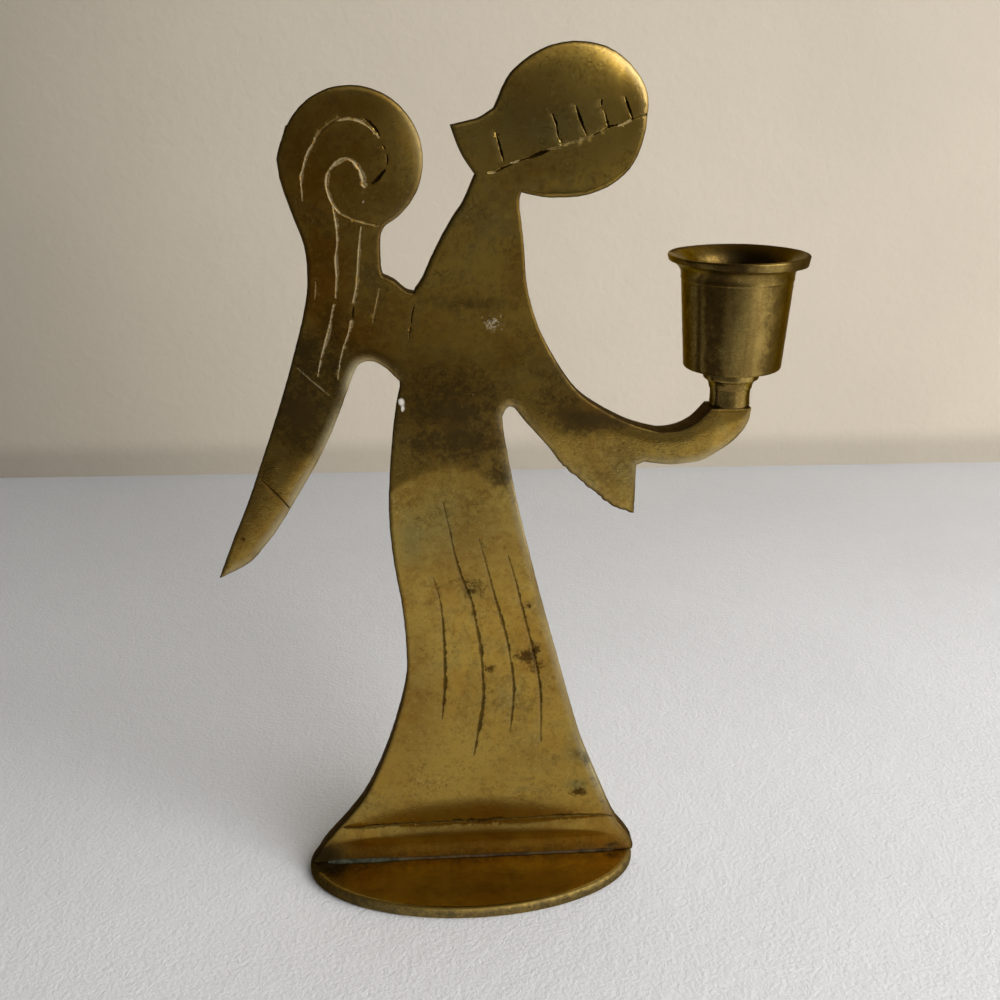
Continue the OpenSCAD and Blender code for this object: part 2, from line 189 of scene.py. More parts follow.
class Graph:
    """Adds nodes to one node tree, feeds them and hands back their outputs."""

    def __init__(self, tree: bpy.types.NodeTree) -> None:
        """Keeps the tree that the nodes go into."""
        self.tree = tree

    def feed(self, node: bpy.types.Node, inputs: Inputs) -> None:
        """Links outputs into a node's inputs, or sets plain values there.

        Args:
            node: The node to feed.
            inputs: What goes in, by the input's name or number.
        """
        for key, value in inputs.items():
            socket = node.inputs[key]
            value = value.socket if isinstance(value, Value) else value
            if isinstance(value, bpy.types.NodeSocket):
                self.tree.links.new(value, socket)
            elif socket.type == "RGBA":
                socket.default_value = (*value, 1.0)
            else:
                socket.default_value = value

    def node(self, kind: str, inputs: Optional[Inputs] = None, **settings: object) -> bpy.types.Node:
        """Adds one node.

        Args:
            kind: The node's type name.
            inputs: What goes into its inputs, by name or number.
            **settings: Values for the node's own properties.

        Returns:
            The new node.
        """
        node = self.tree.nodes.new(kind)
        for name, value in settings.items():
            setattr(node, name, value)
        self.feed(node, inputs or {})
        return node

    def get(self, kind: str, output: Key, inputs: Optional[Inputs] = None, **settings: object) -> Value:
        """Adds one node and gives one of its outputs.

        Args:
            kind: The node's type name.
            output: The output's name or number.
            inputs: What goes into its inputs, by name or number.
            **settings: Values for the node's own properties.

        Returns:
            The output.
        """
        return Value(self, self.node(kind, inputs, **settings).outputs[output])

    def math(self, operation: str, a: Feed, b: Optional[Feed] = None) -> Value:
        """Adds a Math node with one or two inputs."""
        return self.get("ShaderNodeMath", 0, {0: a} if b is None else {0: a, 1: b}, operation=operation)

    def ramp(self, value: Feed, low: Feed, high: Feed, out_low: Feed = 0.0, out_high: Feed = 1.0) -> Value:
        """Maps a value smoothly from one range to another, held at both ends.

        Args:
            value: The value to map.
            low: Where the map starts.
            high: Where the map ends, which may lie below the start.
            out_low: Result at the start.
            out_high: Result at the end.

        Returns:
            The mapped value.
        """
        inputs = dict(enumerate((value, low, high, out_low, out_high)))
        return self.get("ShaderNodeMapRange", 0, inputs, interpolation_type="SMOOTHSTEP")

    def noise(self, vector: Feed, scale: Feed, detail: float = 2, rough: float = 0.5, warp: float = 0) -> Value:
        """Adds a Noise texture.

        Args:
            vector: Where the noise is read.
            scale: Features in a metre.
            detail: Number of finer layers.
            rough: Weight of the finer layers.
            warp: How far the noise is bent by itself.

        Returns:
            The noise's value, about 0.5 on average.
        """
        inputs = {"Vector": vector, "Scale": scale, "Detail": detail, "Roughness": rough, "Distortion": warp}
        return self.get("ShaderNodeTexNoise", 0, inputs, noise_dimensions="3D")

    def place(self, vector: Feed, move: Triple = (0, 0, 0), turn: Triple = (0, 0, 0),
              scale: Triple = (1, 1, 1)) -> Value:
        """Adds a Mapping node.

        Args:
            vector: Coordinates to map.
            move: Shift.
            turn: Rotation, in radians.
            scale: Stretch along each axis.

        Returns:
            The mapped coordinates.
        """
        inputs = {"Vector": vector, "Location": move, "Rotation": turn, "Scale": scale}
        return self.get("ShaderNodeMapping", 0, inputs)

    def mix(self, share: Feed, a: Feed, b: Feed, blend: str = "MIX") -> Value:
        """Mixes two colours.

        Args:
            share: How much of the second colour shows.
            a: First colour.
            b: Second colour.
            blend: The way that they are mixed.

        Returns:
            The mixed colour.
        """
        return self.get("ShaderNodeMix", 2, {0: share, 6: a, 7: b}, data_type="RGBA", blend_type=blend)

    def bump(self, height: Feed, depth: float, strength: float, base: Optional[Value] = None) -> Value:
        """Adds a Bump node.

        Args:
            height: The relief's height, from 0 to 1.
            depth: The height's size in millimetres.
            strength: How much of it shows.
            base: A normal to build on.

        Returns:
            The bent normal.
        """
        inputs = {"Strength": strength, "Distance": depth * MM, "Height": height}
        return self.get("ShaderNodeBump", "Normal", inputs if base is None else {**inputs, "Normal": base})

    def split(self, vector: Feed) -> tuple[Value, Value, Value]:
        """Takes a vector apart into x, y and z."""
        apart = self.node("ShaderNodeSeparateXYZ", {0: vector})
        return Value(self, apart.outputs[0]), Value(self, apart.outputs[1]), Value(self, apart.outputs[2])

    def join(self, x: Feed, y: Feed, z: Feed) -> Value:
        """Puts x, y and z together into a vector."""
        return self.get("ShaderNodeCombineXYZ", 0, {0: x, 1: y, 2: z})

    def attribute(self, name: str) -> Value:
        """Reads a number that the piece's mesh carries, in a material."""
        return self.get("ShaderNodeAttribute", "Fac", attribute_name=name, attribute_type="GEOMETRY")

    def object_place(self) -> Value:
        """Gives the coordinates on the piece, in a material."""
        return self.get("ShaderNodeTexCoord", "Object")


class PieceTree(Graph):
    """A geometry tree with named inputs, which ends in a real and smooth mesh with its finish."""

    def __init__(self, name: str, sizes: dict[str, float], helpers: Sequence[str] = ()) -> None:
        """Starts the tree.

        Args:
            name: The tree's name.
            sizes: Label and default of each number that goes in. A whole number makes a whole-number input.
            helpers: Labels of the objects that go in.
        """
        super().__init__(bpy.data.node_groups.new(name, "GeometryNodeTree"))
        kinds = {"Geometry": "Geometry", **{label: "Object" for label in helpers}, "Finish": "Material"}
        kinds.update({label: "Int" if isinstance(size, int) else "Float" for label, size in sizes.items()})
        self.labels = {}
        for label, kind in kinds.items():
            socket = self.tree.interface.new_socket(label, in_out="INPUT", socket_type=f"NodeSocket{kind}")
            if label in sizes:
                socket.default_value = sizes[label]
            self.labels[label] = socket.identifier
        self.tree.interface.new_socket("Geometry", in_out="OUTPUT", socket_type="NodeSocketGeometry")
        source = self.node("NodeGroupInput")
        self.pin = {label: Value(self, source.outputs[label]) for label in kinds}

    def position(self) -> Value:
        """Gives the place of each point."""
        return self.get("GeometryNodeInputPosition", 0)

    def named(self, label: str) -> Value:
        """Reads a number that the mesh carries."""
        return self.get("GeometryNodeInputNamedAttribute", "Attribute", {"Name": label}, data_type="FLOAT")

    def sample(self, shape: Feed, value: Value, index: Value, kind: str = "FLOAT") -> Value:
        """Reads a value at one point of another shape.

        Args:
            shape: The other shape.
            value: What is read there.
            index: The point's number.
            kind: The value's type name.

        Returns:
            The value that was read.
        """
        inputs = {"Geometry": shape, "Value": value, "Index": index}
        return self.get("GeometryNodeSampleIndex", "Value", inputs, data_type=kind, domain="POINT")

    def move(self, shape: Feed, **target: Value) -> Value:
        """Moves the points of a shape to a Position or by an Offset."""
        return self.get("GeometryNodeSetPosition", 0, {"Geometry": shape, **target})

    def close(self, shape: Feed) -> PieceTree:
        """Ends the tree: real mesh, smooth faces, finish.

        Args:
            shape: The shape to finish.

        Returns:
            The tree itself.
        """
        shape = self.get("GeometryNodeRealizeInstances", 0, {0: shape})
        shape = self.get("GeometryNodeSetShadeSmooth", 0, {"Geometry": shape})
        shape = self.get("GeometryNodeSetMaterial", 0, {"Geometry": shape, "Material": self.pin["Finish"]})
        self.node("NodeGroupOutput", {0: shape})
        return self

    def bake(self, made: bpy.types.Object, inputs: dict[str, object]) -> None:
        """Runs the tree on an object and leaves it the result as its plain mesh.

        Args:
            made: The object that the tree works on.
            inputs: Values for the tree's named inputs.
        """
        modifier = made.modifiers.new(self.tree.name, "NODES")
        modifier.node_group = self.tree
        for label, value in inputs.items():
            modifier[self.labels[label]] = value
        made.update_tag()
        bpy.context.view_layer.update()
        evaluated = made.evaluated_get(bpy.context.evaluated_depsgraph_get())
        mesh, old = bpy.data.meshes.new_from_object(evaluated), made.data
        mesh.name = made.name
        made.modifiers.remove(modifier)
        made.data = mesh
        bpy.data.meshes.remove(old)


def new_material(name: str) -> tuple[bpy.types.Material, Graph, bpy.types.Node]:
    """Makes an empty node material.

    Args:
        name: The material's name.

    Returns:
        The material, its graph and its shader node.
    """
    material = bpy.data.materials.new(name)
    material.use_nodes = True
    material.node_tree.nodes.clear()
    graph = Graph(material.node_tree)
    shader = graph.node("ShaderNodeBsdfPrincipled")
    graph.node("ShaderNodeOutputMaterial", {"Surface": shader.outputs[0]})
    return material, graph, shader


@dataclass(frozen=True)
class AgedBrass:
    """Brass that has darkened with age. A piece's own attributes say where it is dirty, worn or matt, and where
    shade and highlights are painted into its colour.
    """

    name: str
    clean: Colour
    tarnish: Colour
    rough: float = 0.3
    clouds: float = 0.5
    grain: float = 0.35
    scratch: float = 0.3
    veins: float = 0.0
    turned: bool = False
    axis_x: float = 0.0
    film: float = 0.55
    mottling: float = 0.42
    film_tone: Colour = (0.24, 0.19, 0.06)
    speck_tone: Colour = (0.13, 0.075, 0.02)
    worn_tone: Colour = (0.60, 0.45, 0.16)
    vein_tone: Colour = (0.105, 0.06, 0.014)
    stain_tone: Colour = (0.065, 0.031, 0.006)
    grime_and_shade_tone: Colour = (0.05, 0.032, 0.010)
    # highlight_tone is a painted highlight, pale colour on edges that face the light.
    highlight_tone: Colour = (0.49, 0.44, 0.275)
    # painted_shade_tone is painted shade, dark colour on edges that face away from the light and in shaded
    # patches.
    painted_shade_tone: Colour = (0.038, 0.023, 0.008)
    dirt_tone: Colour = (0.018, 0.009, 0.002)
    chalk_and_lip_tone: Colour = (0.30, 0.245, 0.14)
    fleck_tone: Colour = (0.70, 0.66, 0.58)
    shine_tone: Colour = (0.6, 0.5, 0.3)
    worn_share: float = 0.8
    stain_share: float = 0.92
    grime_and_shade_share: float = 0.9
    highlight_share: float = 0.78
    painted_shade_share: float = 0.95
    chalk_and_lip_share: float = 0.92
    most_rough: float = 0.85
    grain_depth: float = 0.09
    scratch_depth: float = 0.03
    scratch_scale: float = 900.0
    scratch_across: float = 26.0
    scratches: tuple[Triple, ...] = ((0.55, 2600.0, 0.6), (1.25, 2100.0, 1.0), (-0.75, 3000.0, 0.8))
    ring_depth: float = 0.04
    ring_scale: float = 5200.0
    lathe_shine: float = 0.8

    def build(self) -> bpy.types.Material:
        """Makes the material.

        Returns:
            The finished material.
        """
        material, g, shader = new_material(self.name)
        here = g.object_place()
        film = g.noise(here, *FILM)
        mottle = g.noise(here, *MOTTLE)
        grime, stain, edge, skin = (g.attribute(name) for name in ("grime", "stain", "edge", "skin"))
        dirt, polish, patch = (g.attribute(name) for name in ("dirt", "polish", "fleck"))
        colour = self.tarnished(g, here, film, mottle)

        dark = g.ramp(mottle * 0.45 + g.noise(here, *SPECK) * 0.55, *SPECK_SPAN) * self.mottling
        colour = g.mix(dark, colour, self.speck_tone)
        worn = g.ramp(g.noise(here, *RUBBED) * 0.7 + film * 0.3, *RUBBED_SPAN) * (1 - grime).held()
        colour = g.mix(worn * (self.worn_share * self.mottling), colour, self.worn_tone)
        vein = g.ramp(g.noise(here, *VEIN), *VEIN_SPAN)
        vein = vein * g.ramp(g.noise(here, *VEIN_PATCH), *VEIN_PATCH_SPAN)
        colour = g.mix(vein * self.veins, colour, self.vein_tone)

        spot = g.ramp(stain + (g.noise(here, *SPOT) - 0.5) * 2.2, *SPOT_SPAN)
        spot = spot * g.math("MINIMUM", stain * 3, 1)
        colour = g.mix(spot * self.stain_share, colour, self.stain_tone)
        # Grime, and on the cup and the foot also painted shade, darkens the metal in gritty patches.
        grit = g.noise(here, *GRIT) * 0.62 + g.noise(here, *GRIT_PATCH) * 0.38
        grit = g.ramp(g.ramp(grit, 0.64, 0.36, 0.15, 0.85) + grime * 1.1, *GRIT_SPAN)
        grit = grit * g.math("MINIMUM", grime * 3, 1)
        colour = g.mix(grit * self.grime_and_shade_share, colour, self.grime_and_shade_tone)
        # Painted highlight: pale colour on edges that face the light.
        colour = g.mix(edge * self.highlight_share, colour, self.highlight_tone)
        # Painted shade: dark colour on edges that face away from the light, in shaded patches, on the cup's lip
        # and on the foot's rim.
        colour = g.mix(skin * self.painted_shade_share, colour, self.painted_shade_tone)
        colour = g.mix(dirt, colour, self.dirt_tone)

        # Pale polish in the lines, and a painted highlight on their left lips.
        chalk_and_lip_light = polish * g.ramp(g.noise(here, *CHALK_AND_LIP), *CHALK_AND_LIP_SPAN)
        colour = g.mix(chalk_and_lip_light * self.chalk_and_lip_share, colour, self.chalk_and_lip_tone)
        fleck = g.ramp(patch + (g.noise(here, *FLECK) - 0.5) * 0.9, *FLECK_SPAN)
        fleck = fleck * g.ramp(patch, *FLECK_EDGE_SPAN) * g.ramp(patch, 0.3, 0.85, 0.3, 1)
        colour = g.mix(fleck, colour, self.fleck_tone)

        metal = (1 - (fleck * 0.95 + chalk_and_lip_light * 0.85).held()).held() - skin * 0.08
        rough = mottle * 0.14 + (self.rough - 0.07) + (spot + dirt + (grit * 0.6 + (skin + polish))) * 0.3
        rough = rough + (g.attribute("soft") + edge * 0.7) * 0.35
        g.feed(shader, {"Base Color": colour, "Metallic": metal.held(), "Specular Tint": self.shine_tone,
                        "Roughness": g.math("MINIMUM", rough, self.most_rough), "Normal": self.relief(g, here)})
        if self.turned:
            lathe = g.get("ShaderNodeTangent", 0, direction_type="RADIAL", axis="Z")
            g.feed(shader, {"Anisotropic": self.lathe_shine, "Anisotropic Rotation": 0.25, "Tangent": lathe})
        return material

    def tarnished(self, g: Graph, here: Value, film: Value, mottle: Value) -> Value:
        """Lays a dull film, brown tarnish and, on a turned piece, dark streaks over the clean metal; the
        tarnish also carries painted shade, and a painted highlight keeps the metal clear of tarnish and of most
        film.

        Args:
            g: The material's graph.
            here: The coordinates on the piece.
            film: Wide, bent noise.
            mottle: Fine noise.

        Returns:
            The metal's colour.
        """
        # Painted highlight: fresh keeps the metal clear of tarnish and film.
        bare = (1 - g.attribute("fresh")).held()
        aged = g.ramp(g.noise(here, *CLOUD) * 0.65 + mottle * 0.35, *PATCH_SPAN) * self.clouds
        # The tarnish attribute also carries painted shade, on the cup and the foot.
        aged = (aged + g.attribute("tarnish") * 0.85).held() * bare
        dull = g.ramp(film * 0.7 + mottle * 0.3, *FILM_SPAN) * self.film * bare
        colour = g.mix(g.math("MAXIMUM", dull, g.attribute("haze")), self.clean, self.film_tone)
        colour = g.mix(aged, colour, self.tarnish)
        if self.turned:
            streak = g.noise(g.place(here, scale=(1, 1, 0.05)), *STREAK)
            colour = g.mix(g.ramp(streak, *STREAK_SPAN, 0, 0.55), colour, self.speck_tone)
        return colour

    def relief(self, g: Graph, here: Value) -> Value:
        """Makes the fine relief: casting grain, sets of scratches and, on a turned piece, the tool's rings.

        Args:
            g: The material's graph.
            here: The coordinates on the piece.

        Returns:
            The bent normal.
        """
        pits = g.ramp(g.noise(here, *PIT), *PIT_SPAN)
        normal = g.bump(pits * 0.45 + g.noise(here, *CAST_GRAIN) * 0.55, self.grain_depth, self.grain)
        across = self.scratch_across / self.scratch_scale
        for turn, along, share in self.scratches:
            stretch = (across, across, along / self.scratch_scale)
            lines = g.place(here, (0.1 * turn, 0, 0), (0, turn, 0), stretch)
            cut = g.ramp(g.noise(lines, self.scratch_scale, 1), *SCRATCH_SPAN)
            normal = g.bump(1 - cut, self.scratch_depth, self.scratch * share, normal)
        if self.turned:
            ring = g.place(here, (-self.axis_x * MM, 0, 0), scale=(0.02, 0.02, 1))
            normal = g.bump(g.noise(ring, self.ring_scale, 3, 0.75), self.ring_depth, 0.28, normal)
        return normal


@dataclass(frozen=True)
class OldSolder:
    """Soft solder, dull and lumpy, brown on the right and grey-green on the left."""

    name: str = "old_solder"
    brown: tuple[Colour, Colour] = ((0.075, 0.048, 0.02), (0.035, 0.02, 0.008))
    grey: tuple[Colour, Colour] = ((0.07, 0.074, 0.05), (0.025, 0.024, 0.014))
    brown_to: float = -12.0
    grey_from: float = -24.0
    grain_depth: float = 0.12

    def build(self) -> bpy.types.Material:
        """Makes the material.

        Returns:
            The finished material.
        """
        material, g, shader = new_material(self.name)
        here = g.object_place()
        cloud = g.noise(here, *SOLDER_CLOUD)
        shade = g.ramp(cloud, *SOLDER_SPAN)
        left = g.ramp(g.split(here)[0], self.brown_to * MM, self.grey_from * MM)
        g.feed(shader, {"Base Color": g.mix(left, g.mix(shade, *self.brown), g.mix(shade, *self.grey)),
                        "Metallic": 0.4, "Specular IOR Level": 0.2, "Roughness": cloud * 0.3 + 0.58,
                        "Normal": g.bump(g.noise(here, *SOLDER_GRAIN), self.grain_depth, 0.7)})
        return material


@dataclass(frozen=True)
class PaintedShade:
    """Painted shade: a smooth change of brightness along one axis of a surface, down to what is left at its
    end.
    """

    axis: int
    start: float
    end: float
    left: float


@dataclass(frozen=True)
class PaleSurface:
    """A matt pale surface with a fine texture and painted shade, for the table and the wall."""

    name: str
    colour: Colour
    scale: float
    rough: float
    painted_shades: tuple[PaintedShade, ...]
    relief: float = 0.6
    tint: float = 0.02

    def build(self) -> bpy.types.Material:
        """Makes the material.

        Returns:
            The finished material.
        """
        material, g, shader = new_material(self.name)
        here = g.object_place()
        shade = tuple(c * (1 - 2.2 * self.tint) for c in self.colour)
        colour = g.mix(g.ramp(g.noise(here, *PALE_CLOUD), 0.3, 0.7), self.colour, shade)
        axes = g.split(here)
        # Painted shade: each PaintedShade darkens the colour along one axis.
        for fade in self.painted_shades:
            level = g.ramp(axes[fade.axis], fade.start * MM, fade.end * MM, 1, fade.left)
            colour = g.mix(1, colour, level, "MULTIPLY")
        relief = g.noise(here, self.scale, 3, 0.6, 0.3) * 0.7 + g.noise(here, self.scale * 0.22) * 0.5
        g.feed(shader, {"Base Color": colour, "Roughness": self.rough, "Specular IOR Level": 0.25,
                        "Normal": g.bump(relief, self.relief, 0.6)})
        return material


def object_from(name: str, vertices: np.ndarray, faces: Sequence[Sequence[int]],
                edges: Sequence[Sequence[int]] = ()) -> bpy.types.Object:
    """Makes a mesh object that sits at the origin.

    Args:
        name: The object's name.
        vertices: Places in millimetres.
        faces: Faces as lists of vertex numbers.
        edges: Edges for a mesh without faces.

    Returns:
        The linked object.
    """
    mesh = bpy.data.meshes.new(name)
    mesh.from_pydata([tuple(v) for v in vertices * MM], [tuple(e) for e in edges], [tuple(f) for f in faces])
    mesh.update()
    made = bpy.data.objects.new(name, mesh)
    bpy.context.scene.collection.objects.link(made)
    return made


def wire_from(name: str, flat: np.ndarray, edges: Sequence[Sequence[int]]) -> bpy.types.Object:
    """Makes an object of edges only, from points in the plane of the plate."""
    return object_from(name, np.column_stack([flat[:, 0], 0 * flat[:, 0], flat[:, 1]]), (), edges)


def chain(count: int) -> list[Link]:
    """Joins a row of points, each to the next."""
    return [(i, i + 1) for i in range(count - 1)]


def write_attributes(made: bpy.types.Object, values: dict[str, np.ndarray]) -> None:
    """Stores numbers for each vertex of an object's mesh.

    Args:
        made: The object.
        values: One row of numbers for each attribute's name.
    """
    for name, row in values.items():
        layer = made.data.attributes.new(name, "FLOAT", "POINT")
        layer.data.foreach_set("value", np.asarray(row, np.float32))


def drop(*helpers: bpy.types.Object) -> None:
    """Removes helper objects that only served a geometry tree."""
    for helper in helpers:
        mesh = helper.data
        bpy.data.objects.remove(helper)
        bpy.data.meshes.remove(mesh)


def spline(points: Sequence[Pair], step: float) -> np.ndarray:
    """Lays even points along a smooth curve through chosen points.

    Args:
        points: The chosen points.
        step: Distance between two points of the result.

    Returns:
        The points, one row each.
    """
    p = fine = np.asarray(points, float)
    if len(p) > 2:
        q = np.vstack([2 * p[0] - p[1], p, 2 * p[-1] - p[-2]])
        t = np.linspace(0, 1, 24, endpoint=False)[:, None]
        parts = [(2 * b + t * (c - a) + t * t * (2 * a - 5 * b + 4 * c - d)
                  + t ** 3 * (3 * b - a - 3 * c + d)) / 2 for a, b, c, d in zip(q, q[1:], q[2:], q[3:])]
        fine = np.vstack([*parts, p[-1:]])
    length = np.concatenate([[0], np.cumsum(np.linalg.norm(np.diff(fine, axis=0), axis=1))])
    at = np.linspace(0, length[-1], max(math.ceil(length[-1] / step), 2) + 1)
    return np.stack([np.interp(at, length, fine[:, 0]), np.interp(at, length, fine[:, 1])], 1)


def sideways(rows: np.ndarray) -> np.ndarray:
    """Gives the unit vectors that point to the left of a row of directions."""
    return np.stack([-rows[:, 1], rows[:, 0]], 1) / np.maximum(np.linalg.norm(rows, axis=1), 1e-9)[:, None]


@dataclass(frozen=True)
class EngravedLine:
    """One chiselled line on the figure's face."""

    points: tuple[Pair, ...]
    width: float
    depth: float
    edge: Edge
    swell: tuple[float, ...]
    ragged: float

    def trace(self, rng: np.random.Generator, step: float = 0.25) -> tuple[np.ndarray, np.ndarray, np.ndarray]:
        """Lays the line out with the small faults of hand work.

        Args:
            rng: Source of the faults.
            step: Distance between two points.

        Returns:
            Points, half widths and depths.
        """
        path = spline(self.points, step)
        n = len(path)
        knots = np.arange(0, n + 4, 4)
        body = np.interp(np.linspace(0, 1, n), np.linspace(0, 1, len(self.swell)), self.swell)
        waver = np.interp(np.arange(n), knots, rng.uniform(-1, 1, len(knots)))
        chatter = rng.uniform(-1, 1, n)
        stray = 0.12 * self.ragged * (waver + 0.5 * chatter)
        path = path + sideways(np.gradient(path, axis=0)) * stray[:, None]
        size = np.clip(body * (1 + self.ragged * (0.7 * waver + 0.5 * chatter)), 0.15, None)
        return path, self.width / 2 * size, self.depth * np.clip(size, 0.2, 1.3)


@dataclass(frozen=True)
class Mark:
    """A soft oval mark at one place of the plate: a stain, a cloud of tarnish, a pale fleck, a patch of painted
    shade, a spot of painted highlight.
    """

    x: float
    z: float
    wide: float
    high: float
    amount: float = 1.0
    crisp: float = 1.0


def marks(*rows: tuple[float, ...]) -> tuple[Mark, ...]:
    """Makes marks from rows of x, z, width and height, with amount and crispness where they aren't 1."""
    return tuple(Mark(*row) for row in rows)


# Engraved lines: points, width, depth, edge, swell along the line, raggedness.
FOLDS = (
    EngravedLine(((-7.7, 82.6), (-6.4, 77.7), (-5.7, 71.6)), 0.41, 0.2, Edge.FOLD, (0.3, 0.8, 1), 0.5),
    EngravedLine(((-5.7, 71.6), (-5.5, 63.6), (-5.7, 53), (-6.6, 44.3)),
                 0.64, 0.3, Edge.FOLD, (0.7, 1.15, 0.9, 1.1, 0.4), 0.65),
    EngravedLine(((-4.9, 101.3), (-3.7, 95.3), (-1.8, 85.3), (1.3, 75.9)),
                 0.58, 0.3, Edge.FOLD, (0.3, 0.6, 0.8, 0.9), 0.5),
    EngravedLine(((1.3, 75.9), (3, 65), (3.6, 56.6), (3.5, 47.8), (1, 33.3)),
                 0.77, 0.34, Edge.FOLD, (0.7, 0.9, 0.8, 1.2, 0.3), 0.6),
    EngravedLine(((3.2, 92), (4.7, 86.1), (7, 76.1), (9.3, 66.9), (10.7, 57.7), (11.1, 50.5),
                  (10.1, 39.4)),
                 0.61, 0.3, Edge.FOLD, (0.3, 0.7, 1, 0.7, 0.9, 0.4), 0.6),
    EngravedLine(((9.9, 87.5), (11.5, 81.8), (13.4, 73.2), (15.3, 65), (17, 56.6), (17.8, 48.6),
                  (17.8, 36.6)),
                 0.61, 0.3, Edge.FOLD, (0.3, 0.8, 0.9, 0.7, 1, 0.4), 0.6),
)
HEM = (
    EngravedLine(((-32.2, 13.1), (-28.4, 13), (-24, 13.4), (-18.2, 13.7)),
                 0.96, 0.3, Edge.FOLD, (0.3, 0.8, 1.2, 0.8), 0.5),
    EngravedLine(((-18.2, 13.7), (-8, 13.8), (2.3, 13.9), (12.5, 14)),
                 0.6, 0.22, Edge.FOLD, (0.8, 0.6, 1.4, 1.5, 0.6), 0.9),
    EngravedLine(((12.5, 14), (22.8, 14.1), (33.2, 14), (36.3, 13.3)),
                 0.86, 0.3, Edge.FOLD, (0.4, 0.8, 1.2, 0.8, 0.4), 0.6),
)
SHOULDER = (
    EngravedLine(((-9.9, 146.3), (-10.4, 144.1), (-10.6, 142.7)),
                 0.4, 0.3, Edge.DEEP, (0.5, 1.1, 0.6), 0.4),
    EngravedLine(((-10.8, 141.9), (-11.2, 139.2)), 0.29, 0.24, Edge.DEEP, (0.6, 1, 0.4), 0.5),
)
FEATHERS = (
    EngravedLine(((-25.7, 167.2), (-25.2, 162.4), (-25.3, 159.1), (-25.8, 156.3), (-25.8, 152.9),
                  (-26.3, 148.4)),
                 0.52, 0.16, Edge.PALE, (0.8, 1, 1.1, 0.7), 0.6),
    EngravedLine(((-26.8, 146.8), (-28.1, 141.7), (-30.2, 135.2), (-31.2, 131.2)),
                 0.52, 0.16, Edge.PALE, (0.7, 1, 1, 0.4), 0.5),
    EngravedLine(((-20.2, 162.9), (-20.7, 159.5), (-21.7, 151), (-22.6, 147.4)),
                 0.53, 0.16, Edge.PALE, (0.5, 1, 1.1, 1), 0.4),
    EngravedLine(((-22.7, 146.2), (-23.1, 144.2)), 0.55, 0.24, Edge.DEEP, (0.7, 1, 0.6), 0.4),
    EngravedLine(((-23.3, 143.3), (-24, 140.6), (-25.7, 136.2), (-27, 130.6)),
                 0.52, 0.16, Edge.PALE, (1, 0.9, 0.6, 0.4), 0.5),
    EngravedLine(((-17, 150.2), (-18, 146.1), (-18.9, 142.6)),
                 0.34, 0.14, Edge.FAINT, (0.4, 1, 0.8, 0.3), 0.3),
    EngravedLine(((-30.3, 151.8), (-30.5, 149.4), (-30.8, 147.9)),
                 0.33, 0.12, Edge.FAINT, (0.5, 1, 0.5), 0.3),
    EngravedLine(((-45.4, 108), (-42.5, 104.7), (-39.7, 101.1)),
                 0.5, 0.3, Edge.DEEP, (0.6, 1, 1, 0.6), 0.2),
    EngravedLine(((-35.4, 133.2), (-32.6, 130.4), (-28.9, 127)),
                 0.28, 0.02, Edge.FAINT, (0.6, 1, 0.8), 0.5),
)
SCROLL = (
    EngravedLine(((-31.9, 168.4), (-31.8, 172.9), (-30.4, 177.2), (-28.4, 180.5)),
                 0.47, 0.16, Edge.PALE, (0.4, 1.1, 1, 0.8), 0.4),
    EngravedLine(((-28.4, 180.5), (-27, 182.1), (-25, 183.6), (-23.3, 184.5)),
                 0.43, 0.26, Edge.WORN, (0.6, 1.1, 1, 0.6), 0.4),
    EngravedLine(((-23.6, 183.9), (-21.3, 184.2), (-18.9, 183.5), (-16.9, 182), (-15.6, 180.4)),
                 0.43, 0.12, Edge.PALE, (0.6, 1, 1, 0.7, 0.4), 0.35),
    EngravedLine(((-18.6, 184.3), (-17.4, 183.4), (-16.2, 182), (-15.5, 180.8)),
                 0.64, 0.42, Edge.DEEP, (0.3, 1.1, 1.1, 0.3), 0.5),
    EngravedLine(((-15, 179), (-14.6, 178.3)), 0.45, 0.3, Edge.DEEP, (0.6, 1, 0.6), 0.6),
    EngravedLine(((-14.4, 177.2), (-14.2, 176.3), (-14.4, 175.2)),
                 0.41, 0.32, Edge.DEEP, (0.5, 1, 0.5), 0.6),
    EngravedLine(((-14.8, 174.3), (-16.2, 172.7), (-17.7, 171.4)),
                 0.71, 0.42, Edge.DEEP, (0.5, 1.2, 0.6), 0.4),
    EngravedLine(((-18.6, 171.4), (-19.3, 171.2), (-19.2, 172.6), (-19.8, 174.2), (-20.6, 175.5),
                  (-21.9, 176.4), (-23.3, 176.4), (-25, 175.4), (-26.4, 173.6), (-26.8, 171.4),
                  (-26.4, 169.3), (-25.7, 167.6), (-24.4, 165.8)),
                 0.57, 0.18, Edge.PALE, (1.1, 1.3, 1, 0.9, 1, 1, 0.9), 0.5),
    EngravedLine(((-24.4, 165.8), (-22, 164.6), (-19.4, 163.7), (-16.6, 163)),
                 0.34, 0.14, Edge.FAINT, (0.9, 1, 0.9, 0.5), 0.5),
)
